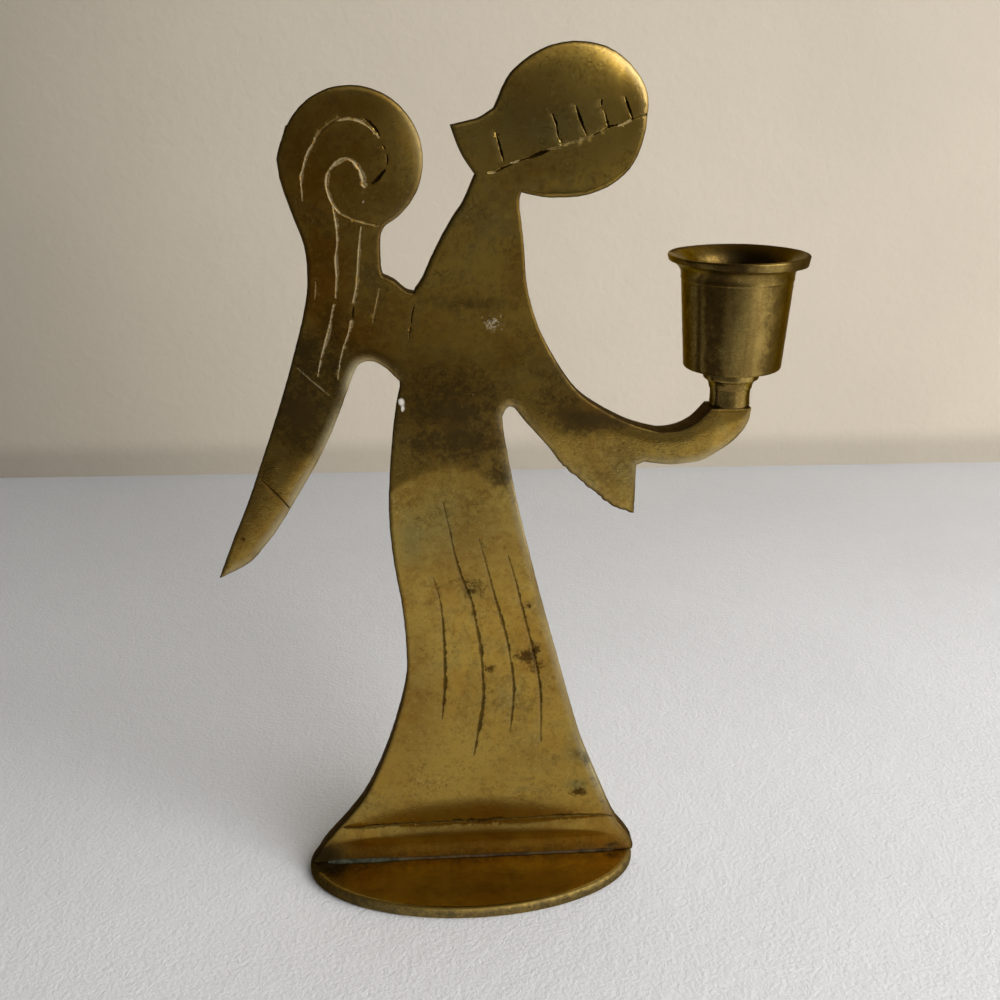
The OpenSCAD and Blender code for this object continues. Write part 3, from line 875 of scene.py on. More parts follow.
BAND = (
    EngravedLine(((6.3, 173.4), (7.6, 173.5)), 0.42, 0.12, Edge.PALE, (0.7, 1, 0.7), 0.4),
    EngravedLine(((7.9, 173.6), (8.8, 174.1), (9.6, 174.5), (11.2, 175)),
                 0.52, 0.36, Edge.DEEP, (0.5, 1.2, 0.9, 0.6), 0.6),
    EngravedLine(((11, 175.3), (12.6, 175.7)), 0.4, 0.12, Edge.PALE, (0.6, 1, 0.7), 0.6),
    EngravedLine(((12.4, 175.5), (14.6, 176.2)), 0.3, 0.25, Edge.DEEP, (0.6, 0.8, 0.9), 0.5),
    EngravedLine(((14.6, 176.2), (16.8, 177), (18.9, 177.7)),
                 0.83, 0.45, Edge.DEEP, (0.5, 1.1, 1, 0.5), 0.2),
    EngravedLine(((18.9, 177.8), (21.4, 178.3)), 0.35, 0.2, Edge.WORN, (0.8, 0.8, 0.8), 0.5),
    EngravedLine(((21.4, 178.7), (24.8, 179.4), (28, 180.5)),
                 0.38, 0.18, Edge.WORN, (0.8, 0.5, 1, 0.6, 1.1, 0.6, 0.9), 1),
    EngravedLine(((28, 180.5), (29.5, 181.2), (31, 182), (33.1, 182.5)),
                 0.3, 0.28, Edge.LIPPED, (0.8, 0.6, 1.1, 0.9), 0.8),
    EngravedLine(((33.1, 182.3), (35.5, 183.2)), 0.38, 0.12, Edge.PALE, (0.6, 1, 0.8), 0.8),
    EngravedLine(((35.6, 183.5), (37.4, 184.1), (39.1, 184.4)),
                 0.3, 0.28, Edge.DEEP, (1, 0.8, 0.5), 0.4),
)
FRINGE = (
    EngravedLine(((7.9, 181.5), (8.5, 179.3), (9.5, 175.7)),
                 0.42, 0.34, Edge.LIPPED, (0.3, 0.8, 1.1, 0.6), 0.5),
    EngravedLine(((19.4, 184.7), (20.2, 182.8), (20.6, 180.7), (21.4, 179.2)),
                 0.37, 0.32, Edge.LIPPED, (0.5, 1.1, 0.6, 1, 0.4), 0.8),
    EngravedLine(((24.2, 186.3), (25.3, 183.3), (26.6, 180.5)),
                 0.58, 0.42, Edge.LIPPED, (0.3, 1.2, 1, 0.4), 0.25),
    EngravedLine(((29.5, 187.3), (29.4, 186.2)), 0.51, 0.36, Edge.LIPPED, (0.8, 1, 0.5), 0.3),
    EngravedLine(((29.9, 185.3), (30.3, 184.4), (31, 181.9)),
                 0.42, 0.34, Edge.LIPPED, (0.4, 0.8, 1.1, 0.7), 0.6),
    EngravedLine(((34.2, 187.8), (35.1, 185.5), (36, 183.4)),
                 0.53, 0.4, Edge.LIPPED, (0.5, 1.1, 0.9, 0.5), 0.25),
)
# Where the face is stained, clouded, dirty and so on, and where shade and highlights are painted on: x, z,
# width, height, amount, crispness.
STAINS = marks(
    (14.6, 61, 2.8, 2.2), (16.4, 62.4, 1.6, 1.8, 0.95), (17, 58.4, 1.6, 2, 0.8),
    (12.2, 60.8, 1.3, 1, 0.8), (15.6, 57.6, 1.5, 1.4, 0.6), (5.1, 57.8, 1.7, 1.4, 0.85),
    (5.6, 50, 1.6, 4.4, 0.42), (14.6, 74.5, 0.75, 0.75, 1.1), (1.2, 79.8, 3.8, 4, 0.6),
    (-3.6, 81, 1.4, 1.6, 0.35), (-0.7, 74.4, 1.2, 2, 0.35), (11, 67.6, 1.6, 1.4, 0.32),
    (26.4, 33.1, 3, 2, 0.35), (29.9, 32, 1.5, 2.1, 1.3), (31, 29, 1, 1.4, 0.6), (27.4, 21.5, 2.2, 1.5),
    (27.1, 24.2, 2.6, 1.6, 0.4), (30.9, 25.4, 0.9, 0.7, 0.8), (32.3, 24.9, 0.6, 1.8),
    (33.8, 18.2, 0.5, 0.5, 0.9), (9.2, 17.9, 0.7, 0.6, 0.6), (16.9, 16.8, 0.7, 0.8, 0.7),
    (2.8, 13.8, 4, 0.8, 0.8), (-50.7, 93.6, 0.8, 0.7), (-12, 13, 2.5, 0.7, 0.5),
    (28, 15.2, 1.3, 0.8, 0.45), (-1.6, 121.8, 4, 4.6, 0.62), (25, 121.4, 4.6, 2.2, 0.75),
    (4, 146.6, 3, 0.7, 0.5), (-34, 123, 3.6, 5, 0.55), (-38.6, 5.6, 3, 2.4, 0.9),
    (36.4, 4.6, 2.4, 1.4, 0.7), (37.6, 181.4, 0.5, 0.4, 0.9), (4.4, 176.6, 1.2, 0.8, 0.5))
CLOUDS = marks(
    (-28, 158, 9, 24, 0.85), (-32, 178, 5, 9, 0.6), (-22, 187, 7, 3, 0.5), (-20, 178, 4, 3, 0.5),
    (-36, 122, 6, 10, 0.5), (-24, 140, 10, 12, 0.6), (-2, 128, 16, 12, 0.45), (24, 122, 10, 5, 0.6),
    (6, 116, 10, 6, 0.4), (0, 142, 15, 10, 0.35), (18, 176, 14, 6, 0.12), (0, 3.8, 44, 2.3, 0.5),
    (-30, 8, 10, 4, 0.5), (-14, 55, 5, 30, 0.25), (-49, 98, 9, 13, 0.2), (12, 152, 4, 8, 0.5),
    (9, 136, 8, 8, 0.45), (1, 13.2, 24, 8.2, 0.22, 4))
GRIME = marks(
    (-33.4, 133.9, 6, 8, 0.75), (-35.7, 122.8, 7, 9), (29.5, 119.9, 10, 3.4), (20.5, 128, 7, 6, 0.6),
    (-1.8, 116, 14, 5.5, 0.85), (9, 108.5, 5, 4, 0.7), (-11, 66, 6, 18, 0.12), (-2, 124, 16, 10, 0.8),
    (-2, 100, 17, 9, 0.25), (31.5, 106.5, 11, 11, 0.25), (-9, 116, 8, 7, 0.65), (3, 114, 8, 6, 0.55),
    (22, 123.5, 9, 5, 0.75), (-28, 132, 7, 14, 0.6), (-35, 123, 6, 8, 0.9), (-29, 160, 7, 12, 0.25),
    (-17, 150, 8, 8, 0.25), (3, 146.6, 9, 1.8, 0.4), (12, 176, 7, 5, 0.2), (30, 30, 4, 6, 0.2),
    (0, 4.4, 44, 2.4, 0.3), (-38, 5, 6, 4, 0.9))
FLECKS = marks(
    (-13.4, 125.2, 0.85, 1.1), (-13.1, 123.6, 0.5, 1.1), (-19.5, 168.2, 0.6, 0.5),
    (7, 142.5, 3.8, 3.4, 0.47), (18.3, 134.1, 0.25, 0.25, 0.8), (2.4, 126.8, 0.45, 0.4, 0.6),
    (0.1, 123.5, 0.5, 0.65, 0.6), (-10.4, 113.8, 0.35, 0.35, 0.6), (-0.1, 134.3, 0.3, 0.3, 0.8),
    (6.5, 124, 0.35, 0.3, 0.8))
MATT = marks(
    (30, 194, 9, 7, 0.25), (-8, 180, 5, 12, 0.6), (-50, 94, 10, 14, 0.25), (-2, 92, 17, 14, 0.3))
# Where a painted highlight keeps the metal clean: the lower skirt, the head's top and the chest.
HIGHLIGHT_SPOTS = marks(
    (-6, 31, 16, 11, 0.9), (24, 193, 13, 6, 0.8), (0, 139, 9, 7, 0.6))
HAZE = marks(
    (-2, 93, 18, 13, 0.75), (1, 13.2, 24, 8.2, 0.6, 4), (17, 183, 13, 7, 0.8), (-46, 98, 10, 14, 0.5),
    (26.7, 32.8, 3, 2.2), (27.1, 23.9, 3, 1.6), (1, 79.5, 4.5, 4, 0.7), (-40, 108, 8, 8, 0.4),
    (33, 107, 9, 10, 0.78), (-13, 52, 6, 20, 0.55), (-12, 92, 5, 10, 0.92))
# Where painted shade darkens the face: along the seam, in the lower left corner, at the waist, on the wing's
# lower end and along the top of the arm to under the cup; one of these lies on a stain of the skirt.
SHADE_PATCHES = marks(
    (0, 2.6, 48, 2.3, 0.25), (-37, 5, 5, 5, 0.8), (0, 115.5, 13, 9, 0.42), (29, 120.3, 9, 3, 0.5),
    (42, 119.2, 13, 1.9, 0.75), (53, 120.4, 7, 1.8, 0.5), (8.5, 108.5, 4.5, 3.5, 0.35),
    (-35.5, 123, 6, 8, 0.3), (29.9, 32, 1.6, 2.4, 0.5))
# Rows of points along which the face rises to a soft crease.
WAIST = ((-20.5, 101), (-17.8, 103), (-16.3, 104.2), (-13.3, 106.5), (-7.6, 108.9), (-1.9, 109.7),
         (3.7, 107.9), (8.2, 104.7), (11.6, 102.3), (14.5, 100))
BEVELS = marks(
    (-33, 120, 7, 9), (-39, 108, 8, 10), (-45, 97, 9, 10, 0.9), (-22, 131.5, 9, 5),
    (12, 121, 5, 5, 0.6), (-52, 86, 8, 8, 0.6))
# Where a painted highlight lightens edges that face right and down, towards the light: the bevelled edges and
# these.
HIGHLIGHT_EDGES = BEVELS + marks(
    (-7.5, 181, 5, 9, 0.5), (-11, 164, 5, 5, 0.3), (33, 192, 7, 8, 0.9), (16, 101, 7, 20, 0.9),
    (25, 70, 8, 30), (32, 32, 8, 24), (52, 110, 16, 6, 0.7), (68, 116, 6, 8, 0.8),
    (24, 106, 12, 10, 0.4))
WING = ((-52, 109.6), (-46, 111), (-40, 112.6), (-34, 114.2), (-28, 115.6))
ARM = ((7, 125.8), (9, 125.5), (12.8, 125), (16.1, 122.1), (18.3, 119.8), (21.7, 118.3), (26.2, 118.4),
       (30.7, 118.3), (35.3, 117), (39.9, 115.7), (43.3, 114.9), (48.4, 114.9), (52, 116.2),
       (55.4, 117.8), (61.5, 119.6), (66, 120.8))
CREASES = (WAIST, ARM, WING)
CALM = marks((-50, 96, 14, 20, 0.85))


def field_of(spots: Sequence[Mark], x: np.ndarray, z: np.ndarray) -> np.ndarray:
    """Lays soft round marks over points, the strongest on top.

    Args:
        spots: The marks.
        x: Places along X, in millimetres.
        z: Places along Z, in millimetres.

    Returns:
        The marks' strength at each point, from 0 to 1.
    """
    total = np.zeros_like(x)
    for m in spots:
        away = ((x - m.x) / m.wide) ** 2 + ((z - m.z) / m.high) ** 2
        total = np.maximum(total, m.amount * np.exp(-(away ** m.crisp)))
    return np.clip(total, 0, 1)


def trace_lines(lines: Sequence[EngravedLine],
                seed: int) -> tuple[np.ndarray, np.ndarray, dict[str, np.ndarray], list[Link]]:
    """Traces all engraved lines.

    Args:
        lines: The lines.
        seed: Seed for the faults of hand work.

    Returns:
        Points and half widths in millimetres, what each point carries in the geometry tree, and the edges.
    """
    rng = np.random.default_rng(seed)
    points, halves, depths, looks, edges = [], [], [], [], []
    for line in lines:
        path, half, deep = line.trace(rng)
        start = sum(map(len, points))
        edges += [(start + a, start + b) for a, b in chain(len(path))]
        points.append(path)
        halves.append(half)
        depths.append(deep)
        looks.append(np.tile(line.edge.value, (len(path), 1)))
    dirt, fill, lip = np.vstack(looks).T
    carried = {"half_width": np.concatenate(halves) * MM, "depth": np.concatenate(depths) * MM,
               "line_dirt": dirt, "line_fill": fill, "line_lip": lip}
    return np.vstack(points), np.concatenate(halves), carried, edges


def cast_plate_tree() -> PieceTree:
    """Makes the tree that rolls the plate's edges over, crowns its faces and cuts the engraved lines.

    Each vertex brings side, -1 on the face and 1 on the back, and half, the plate's half thickness there.

    Returns:
        The geometry tree.
    """
    g = PieceTree("cast_plate", {
        "Edge Radius": 0.0008, "Crown Width": 0.004, "Crown Depth": 0.0002, "Wave Height": 0.00008,
        "Wave Scale": 45.0, "Line Depth": 1.0, "Ragged": 0.3}, ("Outline", "Lines"))
    pin = g.pin
    here = g.position()
    x, _, z = g.split(here)
    flat = g.join(x, 0.0, z)
    side = g.named("side")
    front = g.math("LESS_THAN", side, -0.5)

    def shape_of(label: str) -> Value:
        """Gives the shape of a helper object."""
        return g.get("GeometryNodeObjectInfo", "Geometry", {"Object": pin[label]}, transform_space="ORIGINAL")

    def distance(shape: Value, spot: Value) -> Value:
        """Measures how far a place lies from the nearest edge of a helper's shape."""
        inputs = {0: shape, "Sample Position": spot}
        return g.get("GeometryNodeProximity", "Distance", inputs, target_element="EDGES")

    rim = distance(shape_of("Outline"), flat)
    radius = pin["Edge Radius"]
    share = 1 - (rim / radius).held()
    roll = radius * (1 - g.math("SQRT", (1 - share * share).held()))
    inner = 1 - (rim / pin["Crown Width"]).held()
    crown = pin["Crown Depth"] * g.named("bevel") * g.math("POWER", inner, 2)

    lines = shape_of("Lines")
    nearest = g.get("GeometryNodeSampleNearest", "Index", {"Geometry": lines, "Sample Position": flat},
                    domain="POINT")

    def of_line(label: str) -> Value:
        """Reads a number of the nearest point of the engraved lines."""
        return g.sample(lines, g.named(label), nearest)

    chip = (g.noise(here, *CHIP) - 0.5) * pin["Ragged"]
    reach = distance(lines, flat) / of_line("half_width") + chip
    inside = (1 - g.math("MAXIMUM", reach, 0)).held()
    groove = g.math("POWER", (inside * 1.25 - 0.25).held(), 1.15)
    groove = groove * (of_line("depth") * pin["Line Depth"]) * front
    lip = (1 - g.math("ABSOLUTE", reach - 1.25)).held() * LIP_H
    wave = g.noise(here, pin["Wave Scale"], 1, 0.4) - 0.5 + (g.noise(here, *FINE_WAVE) - 0.5) * 0.12
    thick = g.named("half") - (roll + crown + (groove - lip * front))
    wave = pin["Wave Height"] * wave * g.named("lively") * g.ramp(rim, *CALM_REACH, 0.35, 1)
    level = side * (thick + wave)

    # Painted highlight on the left lip of each line, the side that faces the light.
    beside = g.get("ShaderNodeVectorMath", 0, {0: flat, 1: LIP_LIGHT_SHIFT}, operation="ADD")
    left = g.ramp(distance(lines, beside) / LIP_LIGHT_W, 1.2, 0.5)
    lip_highlight = left * (of_line("line_lip") * g.ramp(reach, 1.1, 1.5))
    polish = g.math("MAXIMUM", g.ramp(reach, 1.4, 0.9) * of_line("line_fill"), lip_highlight)
    dirt = g.ramp(reach, 1.4, 0.95) * of_line("line_dirt")
    # Painted shade on edges that face away from the light, and in the shade patches.
    skin = g.math("MAXIMUM", g.ramp(rim, *RIM_SHADE_REACH) * g.named("shade"), g.named("umber"))
    # Painted highlight on edges that face the light.
    edge = g.ramp(rim, *HIGHLIGHT_REACH) * g.named("glow")
    shape = pin["Geometry"]
    for label, value in (("dirt", dirt * front), ("polish", polish * front), ("skin", skin), ("edge", edge)):
        shape = g.get("GeometryNodeStoreNamedAttribute", 0, {"Geometry": shape, "Name": label, "Value": value},
                      data_type="FLOAT", domain="POINT")
    return g.close(g.move(shape, Position=g.join(x, level, z)))


def headings(outline: np.ndarray, reach: int) -> np.ndarray:
    """Gives the outline's direction at each point, measured over the points before and after."""
    ahead = np.roll(outline, -reach, axis=0) - np.roll(outline, reach, axis=0)
    return ahead / np.linalg.norm(ahead, axis=1)[:, None]


def search_tree(outline: np.ndarray) -> kdtree.KDTree:
    """Builds the search tree that finds the outline's nearest point."""
    tree = kdtree.KDTree(len(outline))
    for i, (x, z) in enumerate(outline):
        tree.insert((x, z, 0.0), i)
    tree.balance()
    return tree


class Spacing:
    """Keeps points apart, and finds those taken before in a grid of small cells."""

    def __init__(self, cell: float = 0.25) -> None:
        """Starts without points."""
        self.cell = cell
        self.taken: dict[tuple[int, int], list[Pair]] = {}

    def take(self, x: float, z: float, gap: float) -> bool:
        """Takes a point's place if no other point lies closer than the gap.

        Args:
            x: Place along X.
            z: Place along Z.
            gap: The least distance to the points taken before.

        Returns:
            Whether the place was free.
        """
        column, row, span = int(x // self.cell), int(z // self.cell), int(gap // self.cell) + 1
        for i in range(column - span, column + span + 1):
            for k in range(row - span, row + span + 1):
                for p, q in self.taken.get((i, k), ()):
                    if (p - x) ** 2 + (q - z) ** 2 < gap * gap:
                        return False
        self.taken.setdefault((column, row), []).append((x, z))
        return True


@dataclass(frozen=True)
class Dome:
    """A round part of the plate that falls away towards its edge, most towards one side, not at another."""

    x: float
    z: float
    start: float
    end: float
    fall: float
    more: float
    toward: float
    bare: float


@dataclass
class FigurePlate:
    """The cast plate: gown, wing, head, arm and palm in one, with rolled edges and engraved lines."""

    plate_t: float = 4.0
    edge_r: float = 0.25
    crown_w: float = 3.6
    crown_d: float = 0.1
    wave: float = 0.16
    wave_scale: float = 38.0
    ragged: float = 0.65
    step: float = 0.45
    grid: float = 0.85
    back_grid: float = 2.2
    rings: tuple[float, ...] = (0.02, 0.06, 0.13, 0.24, 0.42, 0.68, 1.0, 1.5, 2.2, 3.1, 4.2)
    back_rings: tuple[float, ...] = (0.04, 0.15, 0.3, 0.5, 1.2, 3.0)
    palm_front: float = 4.0
    palm_back: float = 2.6
    swell_from: float = 34.0
    swell_full: float = 56.0
    arm_low: float = 100.0
    edge_age: float = 0.5
    crease: float = 0.2
    crease_w: float = 7.0
    crease_rows: tuple[float, ...] = (-1.2, -0.5, 0.0, 0.5, 1.2)
    corner: float = 32.0
    nick: float = 0.04
    sleeve_nick: float = 0.2
    sleeve: tuple[Pair, Pair] = ((20.0, 38.5), (97.0, 109.5))
    edge_seed: int = 11
    line_seed: int = 7
    domes: tuple[Dome, ...] = (Dome(24.0, 183.5, 8.5, 15.6, 0.27, 0.56, 62.0, 205.0),
                               Dome(-21.4, 176.2, 6.5, 14.6, 0.12, 0.06, 45.0, 250.0))
    hem_relief: tuple[Pair, ...] = ((4.4, 0.17), (7.5, 0.17), (9.8, 0.12), (13.2, -0.27), (13.9, -0.12),
                                    (21.5, 0.3), (46.0, 0.0))
    lines: tuple[EngravedLine, ...] = FOLDS + HEM + SHOULDER + FEATHERS + SCROLL + BAND + FRINGE

    def outline(self, node: bpy.types.Object) -> np.ndarray:
        """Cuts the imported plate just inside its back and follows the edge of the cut.

        Args:
            node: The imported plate.

        Returns:
            The outline as a closed list of points, in millimetres, counterclockwise seen from the face.
        """
        bm = bmesh.new()
        bm.from_mesh(node.data)
        bmesh.ops.remove_doubles(bm, verts=bm.verts, dist=1e-6)
        level = 0.9 * self.plate_t / 2 * MM
        cut = bmesh.ops.bisect_plane(bm, geom=bm.verts[:] + bm.edges[:] + bm.faces[:], plane_co=(0, level, 0),
                                     plane_no=(0, 1, 0), dist=1e-8)
        joined: dict[bmesh.types.BMVert, list[bmesh.types.BMVert]] = {}
        for edge in cut["geom_cut"]:
            if isinstance(edge, bmesh.types.BMEdge):
                a, b = edge.verts
                joined.setdefault(a, []).append(b)
                joined.setdefault(b, []).append(a)
        loops, seen = [], set()
        for first in joined:
            loop, at = [], None if first in seen else first
            while at is not None:
                seen.add(at)
                loop.append((at.co.x, at.co.z))
                at = next((other for other in joined[at] if other not in seen), None)
            loops.append(loop)
        bm.free()
        x, z = (np.array(max(loops, key=len)) / MM).T
        area = np.sum(x * np.roll(z, -1) - np.roll(x, -1) * z)
        return np.stack([x, z], 1)[::1 if area > 0 else -1]

    def resampled(self, loop: np.ndarray) -> np.ndarray:
        """Lays even points along the outline, keeps its corners and smooths what lies between them.

        Args:
            loop: The raw outline.

        Returns:
            The even outline.
        """
        loop = loop[np.linalg.norm(loop - np.roll(loop, 1, axis=0), axis=1) > 0.02]
        before, after = loop - np.roll(loop, 1, axis=0), np.roll(loop, -1, axis=0) - loop
        cross = before[:, 0] * after[:, 1] - before[:, 1] * after[:, 0]
        sharp = np.abs(np.arctan2(cross, (before * after).sum(1))) > math.radians(self.corner)
        rows, fixed = [], []
        for a, b, corner in zip(loop, np.roll(loop, -1, axis=0), sharp):
            n = max(math.ceil(np.linalg.norm(b - a) / self.step), 1)
            rows += [a + (b - a) * k / n for k in range(n)]
            fixed += [corner] + [False] * (n - 1)
        even = np.array(rows)
        kept = np.array(fixed) | np.roll(fixed, 1) | np.roll(fixed, -1)
        for _ in range(10):
            smooth = (np.roll(even, 1, axis=0) + 2 * even + np.roll(even, -1, axis=0)) / 4
            even = np.where(kept[:, None], even, smooth)
        return even

    def worn(self, outline: np.ndarray) -> np.ndarray:
        """Nicks the outline like a filed edge, most under the sleeve, and wears the two lowest corners.

        Args:
            outline: The even outline.

        Returns:
            The worn outline.
        """
        rng = np.random.default_rng(self.edge_seed)
        n = len(outline)
        knots = np.arange(0, n + 3, 3)
        nick = np.interp(np.arange(n), knots, rng.uniform(-1, 1, len(knots)))
        x, z = outline.T
        (left, right), (bottom, top) = self.sleeve
        on_sleeve = (x > left) & (x < right) & (z > bottom) & (z < top)
        nick = nick * np.where(on_sleeve, self.sleeve_nick, self.nick) * (z > 6)
        worn = outline + sideways(headings(outline, 1)) * nick[:, None]
        low = np.exp(-((z - 3) / 1.8) ** 2)
        trim = np.where(x > 0, 0.35 * low + 0.6 * np.exp(-((z - 2.6) / 0.9) ** 2), -0.3 * low)
        worn[:, 0] -= trim * np.clip((np.abs(x) - 30) / 6, 0, 1)
        return worn

    def inside_points(self, outline: np.ndarray, rings: Sequence[float], grid: float,
                      extra: np.ndarray) -> np.ndarray:
        """Picks the points that fill the outline: rows along the edge, extra points and an even grid.

        Args:
            outline: The even outline.
            rings: Distances of the rows from the outline.
            grid: Spacing of the grid.
            extra: Points that the lines and creases need.

        Returns:
            The points inside.
        """
        tree, normal, spacing = search_tree(outline), sideways(headings(outline, 1)), Spacing()

        def depth(x: float, z: float) -> float:
            """Gives how deep a point lies inside the outline, or -1 outside it."""
            _, i, away = tree.find((x, z, 0.0))
            inward = (x - outline[i][0]) * normal[i][0] + (z - outline[i][1]) * normal[i][1]
            return away if inward > 0 else -1.0

        wanted = []
        for n, ring in enumerate(rings):
            every = 1 if ring < 1 else 2
            gap = (0.55 if ring < 0.5 else 0.75) * self.step
            row = outline[n % every::every] + normal[n % every::every] * ring
            wanted += [(x, z, 0.93 * ring, gap) for x, z in row]
        wanted += [(x, z, 0.15, 0.085) for x, z in extra]
        low, high = outline.min(0), outline.max(0)
        for r, z in enumerate(np.arange(low[1], high[1], grid * 0.866)):
            across = np.arange(low[0] + (r % 2) * grid / 2, high[0], grid)
            wanted += [(x, z, 0.25 * rings[-1], 0.62 * grid) for x in across]
        return np.array([(x, z) for x, z, least, gap in wanted
                         if depth(x, z) > least and spacing.take(x, z, gap)])

    def sheet(self, outline: np.ndarray, inside: np.ndarray) -> tuple[np.ndarray, list[tuple[int, ...]]]:
        """Fills the outline with triangles.

        Args:
            outline: The even outline, which comes first among the points.
            inside: The points inside.

        Returns:
            All points and the triangles.
        """
        points = [Vector(p) for p in np.vstack([outline, inside])]
        rim = [(i, (i + 1) % len(outline)) for i in range(len(outline))]
        places, _, faces, *_ = geometry.delaunay_2d_cdt(points, rim, [], 1, 1e-5)
        return np.array([tuple(p) for p in places]), [tuple(f) for f in faces]

    def thickness(self, x: np.ndarray, z: np.ndarray, front: bool) -> np.ndarray:
        """Gives the plate's half thickness: swollen palm, domed head and scroll, hem border, creased face.

        Args:
            x: Places along X.
            z: Places along Z.
            front: Whether the face is meant, not the back.

        Returns:
            Half thicknesses in millimetres.
        """
        half = np.full_like(x, self.plate_t / 2)
        rise = np.clip((x - self.swell_from) / (self.swell_full - self.swell_from), 0, 1)
        rise = (0.65 * rise + 0.35 * (1 - np.cos(np.pi * rise)) / 2) * (z > self.arm_low)
        half += ((self.palm_front if front else self.palm_back) - self.plate_t / 2) * rise
        for dome in self.domes:
            far = np.hypot(x - dome.x, z - dome.z)
            turn = np.degrees(np.arctan2(z - dome.z, x - dome.x))
            clear = np.clip((np.abs((turn - dome.bare + 180) % 360 - 180) - 25) / 25, 0, 1)
            fall = (dome.fall + dome.more * np.maximum(0, np.cos(np.radians(turn - dome.toward))) ** 2) * clear
            down = np.clip((far - dome.start) / (dome.end - dome.start), 0, 1) ** 2.8
            half -= fall * down * (far < dome.end + 1.5) * (1.0 if front else 0.5)
        if front:
            border = np.interp(z, *zip(*self.hem_relief))
            half += np.where(np.abs(x) < 45, border, 0.0) * (z < 50)
            for ridge in CREASES:
                away = np.full_like(x, 1e6)
                for px, pz in spline(ridge, 0.4):
                    away = np.minimum(away, (x - px) ** 2 + (z - pz) ** 2)
                half += self.crease * np.exp(-np.sqrt(away + 0.25) / self.crease_w)
        return half

    def build(self, node: bpy.types.Object, finish: bpy.types.Material) -> bpy.types.Object:
        """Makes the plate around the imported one.

        Args:
            node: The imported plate.
            finish: The plate's finish.

        Returns:
            The dressed plate.
        """
        outline = self.worn(self.resampled(self.outline(node)))
        traced, halves, carried, edges = trace_lines(self.lines, self.line_seed)
        rows = [self.rows_along(traced, halves, edges)]
        rows += [spline(ridge, 0.5) + (0.0, shift) for ridge in CREASES for shift in self.crease_rows]
        full = self.inside_points(outline, self.rings, self.grid, np.vstack(rows))
        plain = self.inside_points(outline, self.back_rings, self.back_grid, np.zeros((0, 2)))
        (face, face_tris), (back, back_tris) = self.sheet(outline, full), self.sheet(outline, plain)
        n, shift = len(outline), len(face)
        flat, side = np.vstack([face, back]), np.repeat((-1.0, 1.0), (shift, len(back)))
        faces = [self.wound(flat, tri, -1) for tri in face_tris]
        faces += [self.wound(flat, [i + shift for i in tri], 1) for tri in back_tris]
        faces += [(i, i + shift, (i + 1) % n + shift, (i + 1) % n) for i in range(n)]
        made = object_from("cast_figure", np.stack([flat[:, 0], side * self.plate_t / 2, flat[:, 1]], 1), faces)
        write_attributes(made, self.age(flat, side < 0, outline))
        rim = wire_from("outline_helper", outline, [(i, (i + 1) % n) for i in range(n)])
        cuts = wire_from("lines_helper", traced, edges)
        write_attributes(cuts, carried)
        cast_plate_tree().bake(made, {
            "Outline": rim, "Lines": cuts, "Edge Radius": self.edge_r * MM, "Crown Width": self.crown_w * MM,
            "Crown Depth": self.crown_d * MM, "Wave Height": self.wave * MM, "Wave Scale": self.wave_scale,
            "Line Depth": 1.0, "Ragged": self.ragged, "Finish": finish})
        drop(rim, cuts)
        LOG.info("cast_figure: %d points, %d faces", len(made.data.vertices), len(made.data.polygons))
        return made

    def age(self, flat: np.ndarray, front: np.ndarray, outline: np.ndarray) -> dict[str, np.ndarray]:
        """Works out the plate's thickness, its marks of age and where shade and highlights are painted on.

        Args:
            flat: Points in the plane of the plate, those of the face first.
            front: Which of them are on the face.
            outline: The even outline, which comes first on the face and on the back.

        Returns:
            The numbers that each point carries, by name.
        """
        x, z = flat.T
        number = np.arange(len(x))
        at_edge = np.where(front, number, number - front.sum()) < len(outline)
        rightward, upward = self.facing(flat, outline)
        # glow is a painted highlight on edge stretches that face right and down, towards the light; shade is
        # painted shade on the other edges.
        glow = np.clip(0.5 + 0.6 * (0.75 * rightward - 0.65 * upward), 0, 1) * field_of(HIGHLIGHT_EDGES, x, z)
        values = {
            "side": np.where(front, -1.0, 1.0),
            "half": np.where(front, self.thickness(x, z, True), self.thickness(x, z, False)) * MM,
            "lively": np.clip((z - 22) / 16, 0, 1) * (1 - field_of(CALM, x, z)),
            "bevel": 0.2 + 2.8 * field_of(BEVELS, x, z),
            "glow": glow,
            "shade": np.clip(1.1 - 1.5 * glow, 0, 1),
            "soft": np.maximum(np.clip((8.4 - z) / 2.4, 0, 0.7), field_of(MATT, x, z)),
        }
        for name, spots in (("tarnish", CLOUDS), ("grime", GRIME)):
            values[name] = np.maximum(field_of(spots, x, z), self.edge_age * at_edge)
        for name, spots in (("stain", STAINS), ("fleck", FLECKS), ("haze", HAZE), ("umber", SHADE_PATCHES),
                            ("fresh", HIGHLIGHT_SPOTS)):
            values[name] = field_of(spots, x, z) * front
        return values

    def facing(self, flat: np.ndarray, outline: np.ndarray) -> tuple[np.ndarray, np.ndarray]:
        """Tells which way the nearest stretch of outline faces.

        Args:
            flat: Points in the plane of the plate.
            outline: The even outline.

        Returns:
            For each point how far that stretch faces right, and how far it faces up.
        """
        tree, ahead = search_tree(outline), headings(outline, 3)
        near = np.array([tree.find((x, z, 0.0))[1] for x, z in flat])
        return ahead[near, 1], -ahead[near, 0]

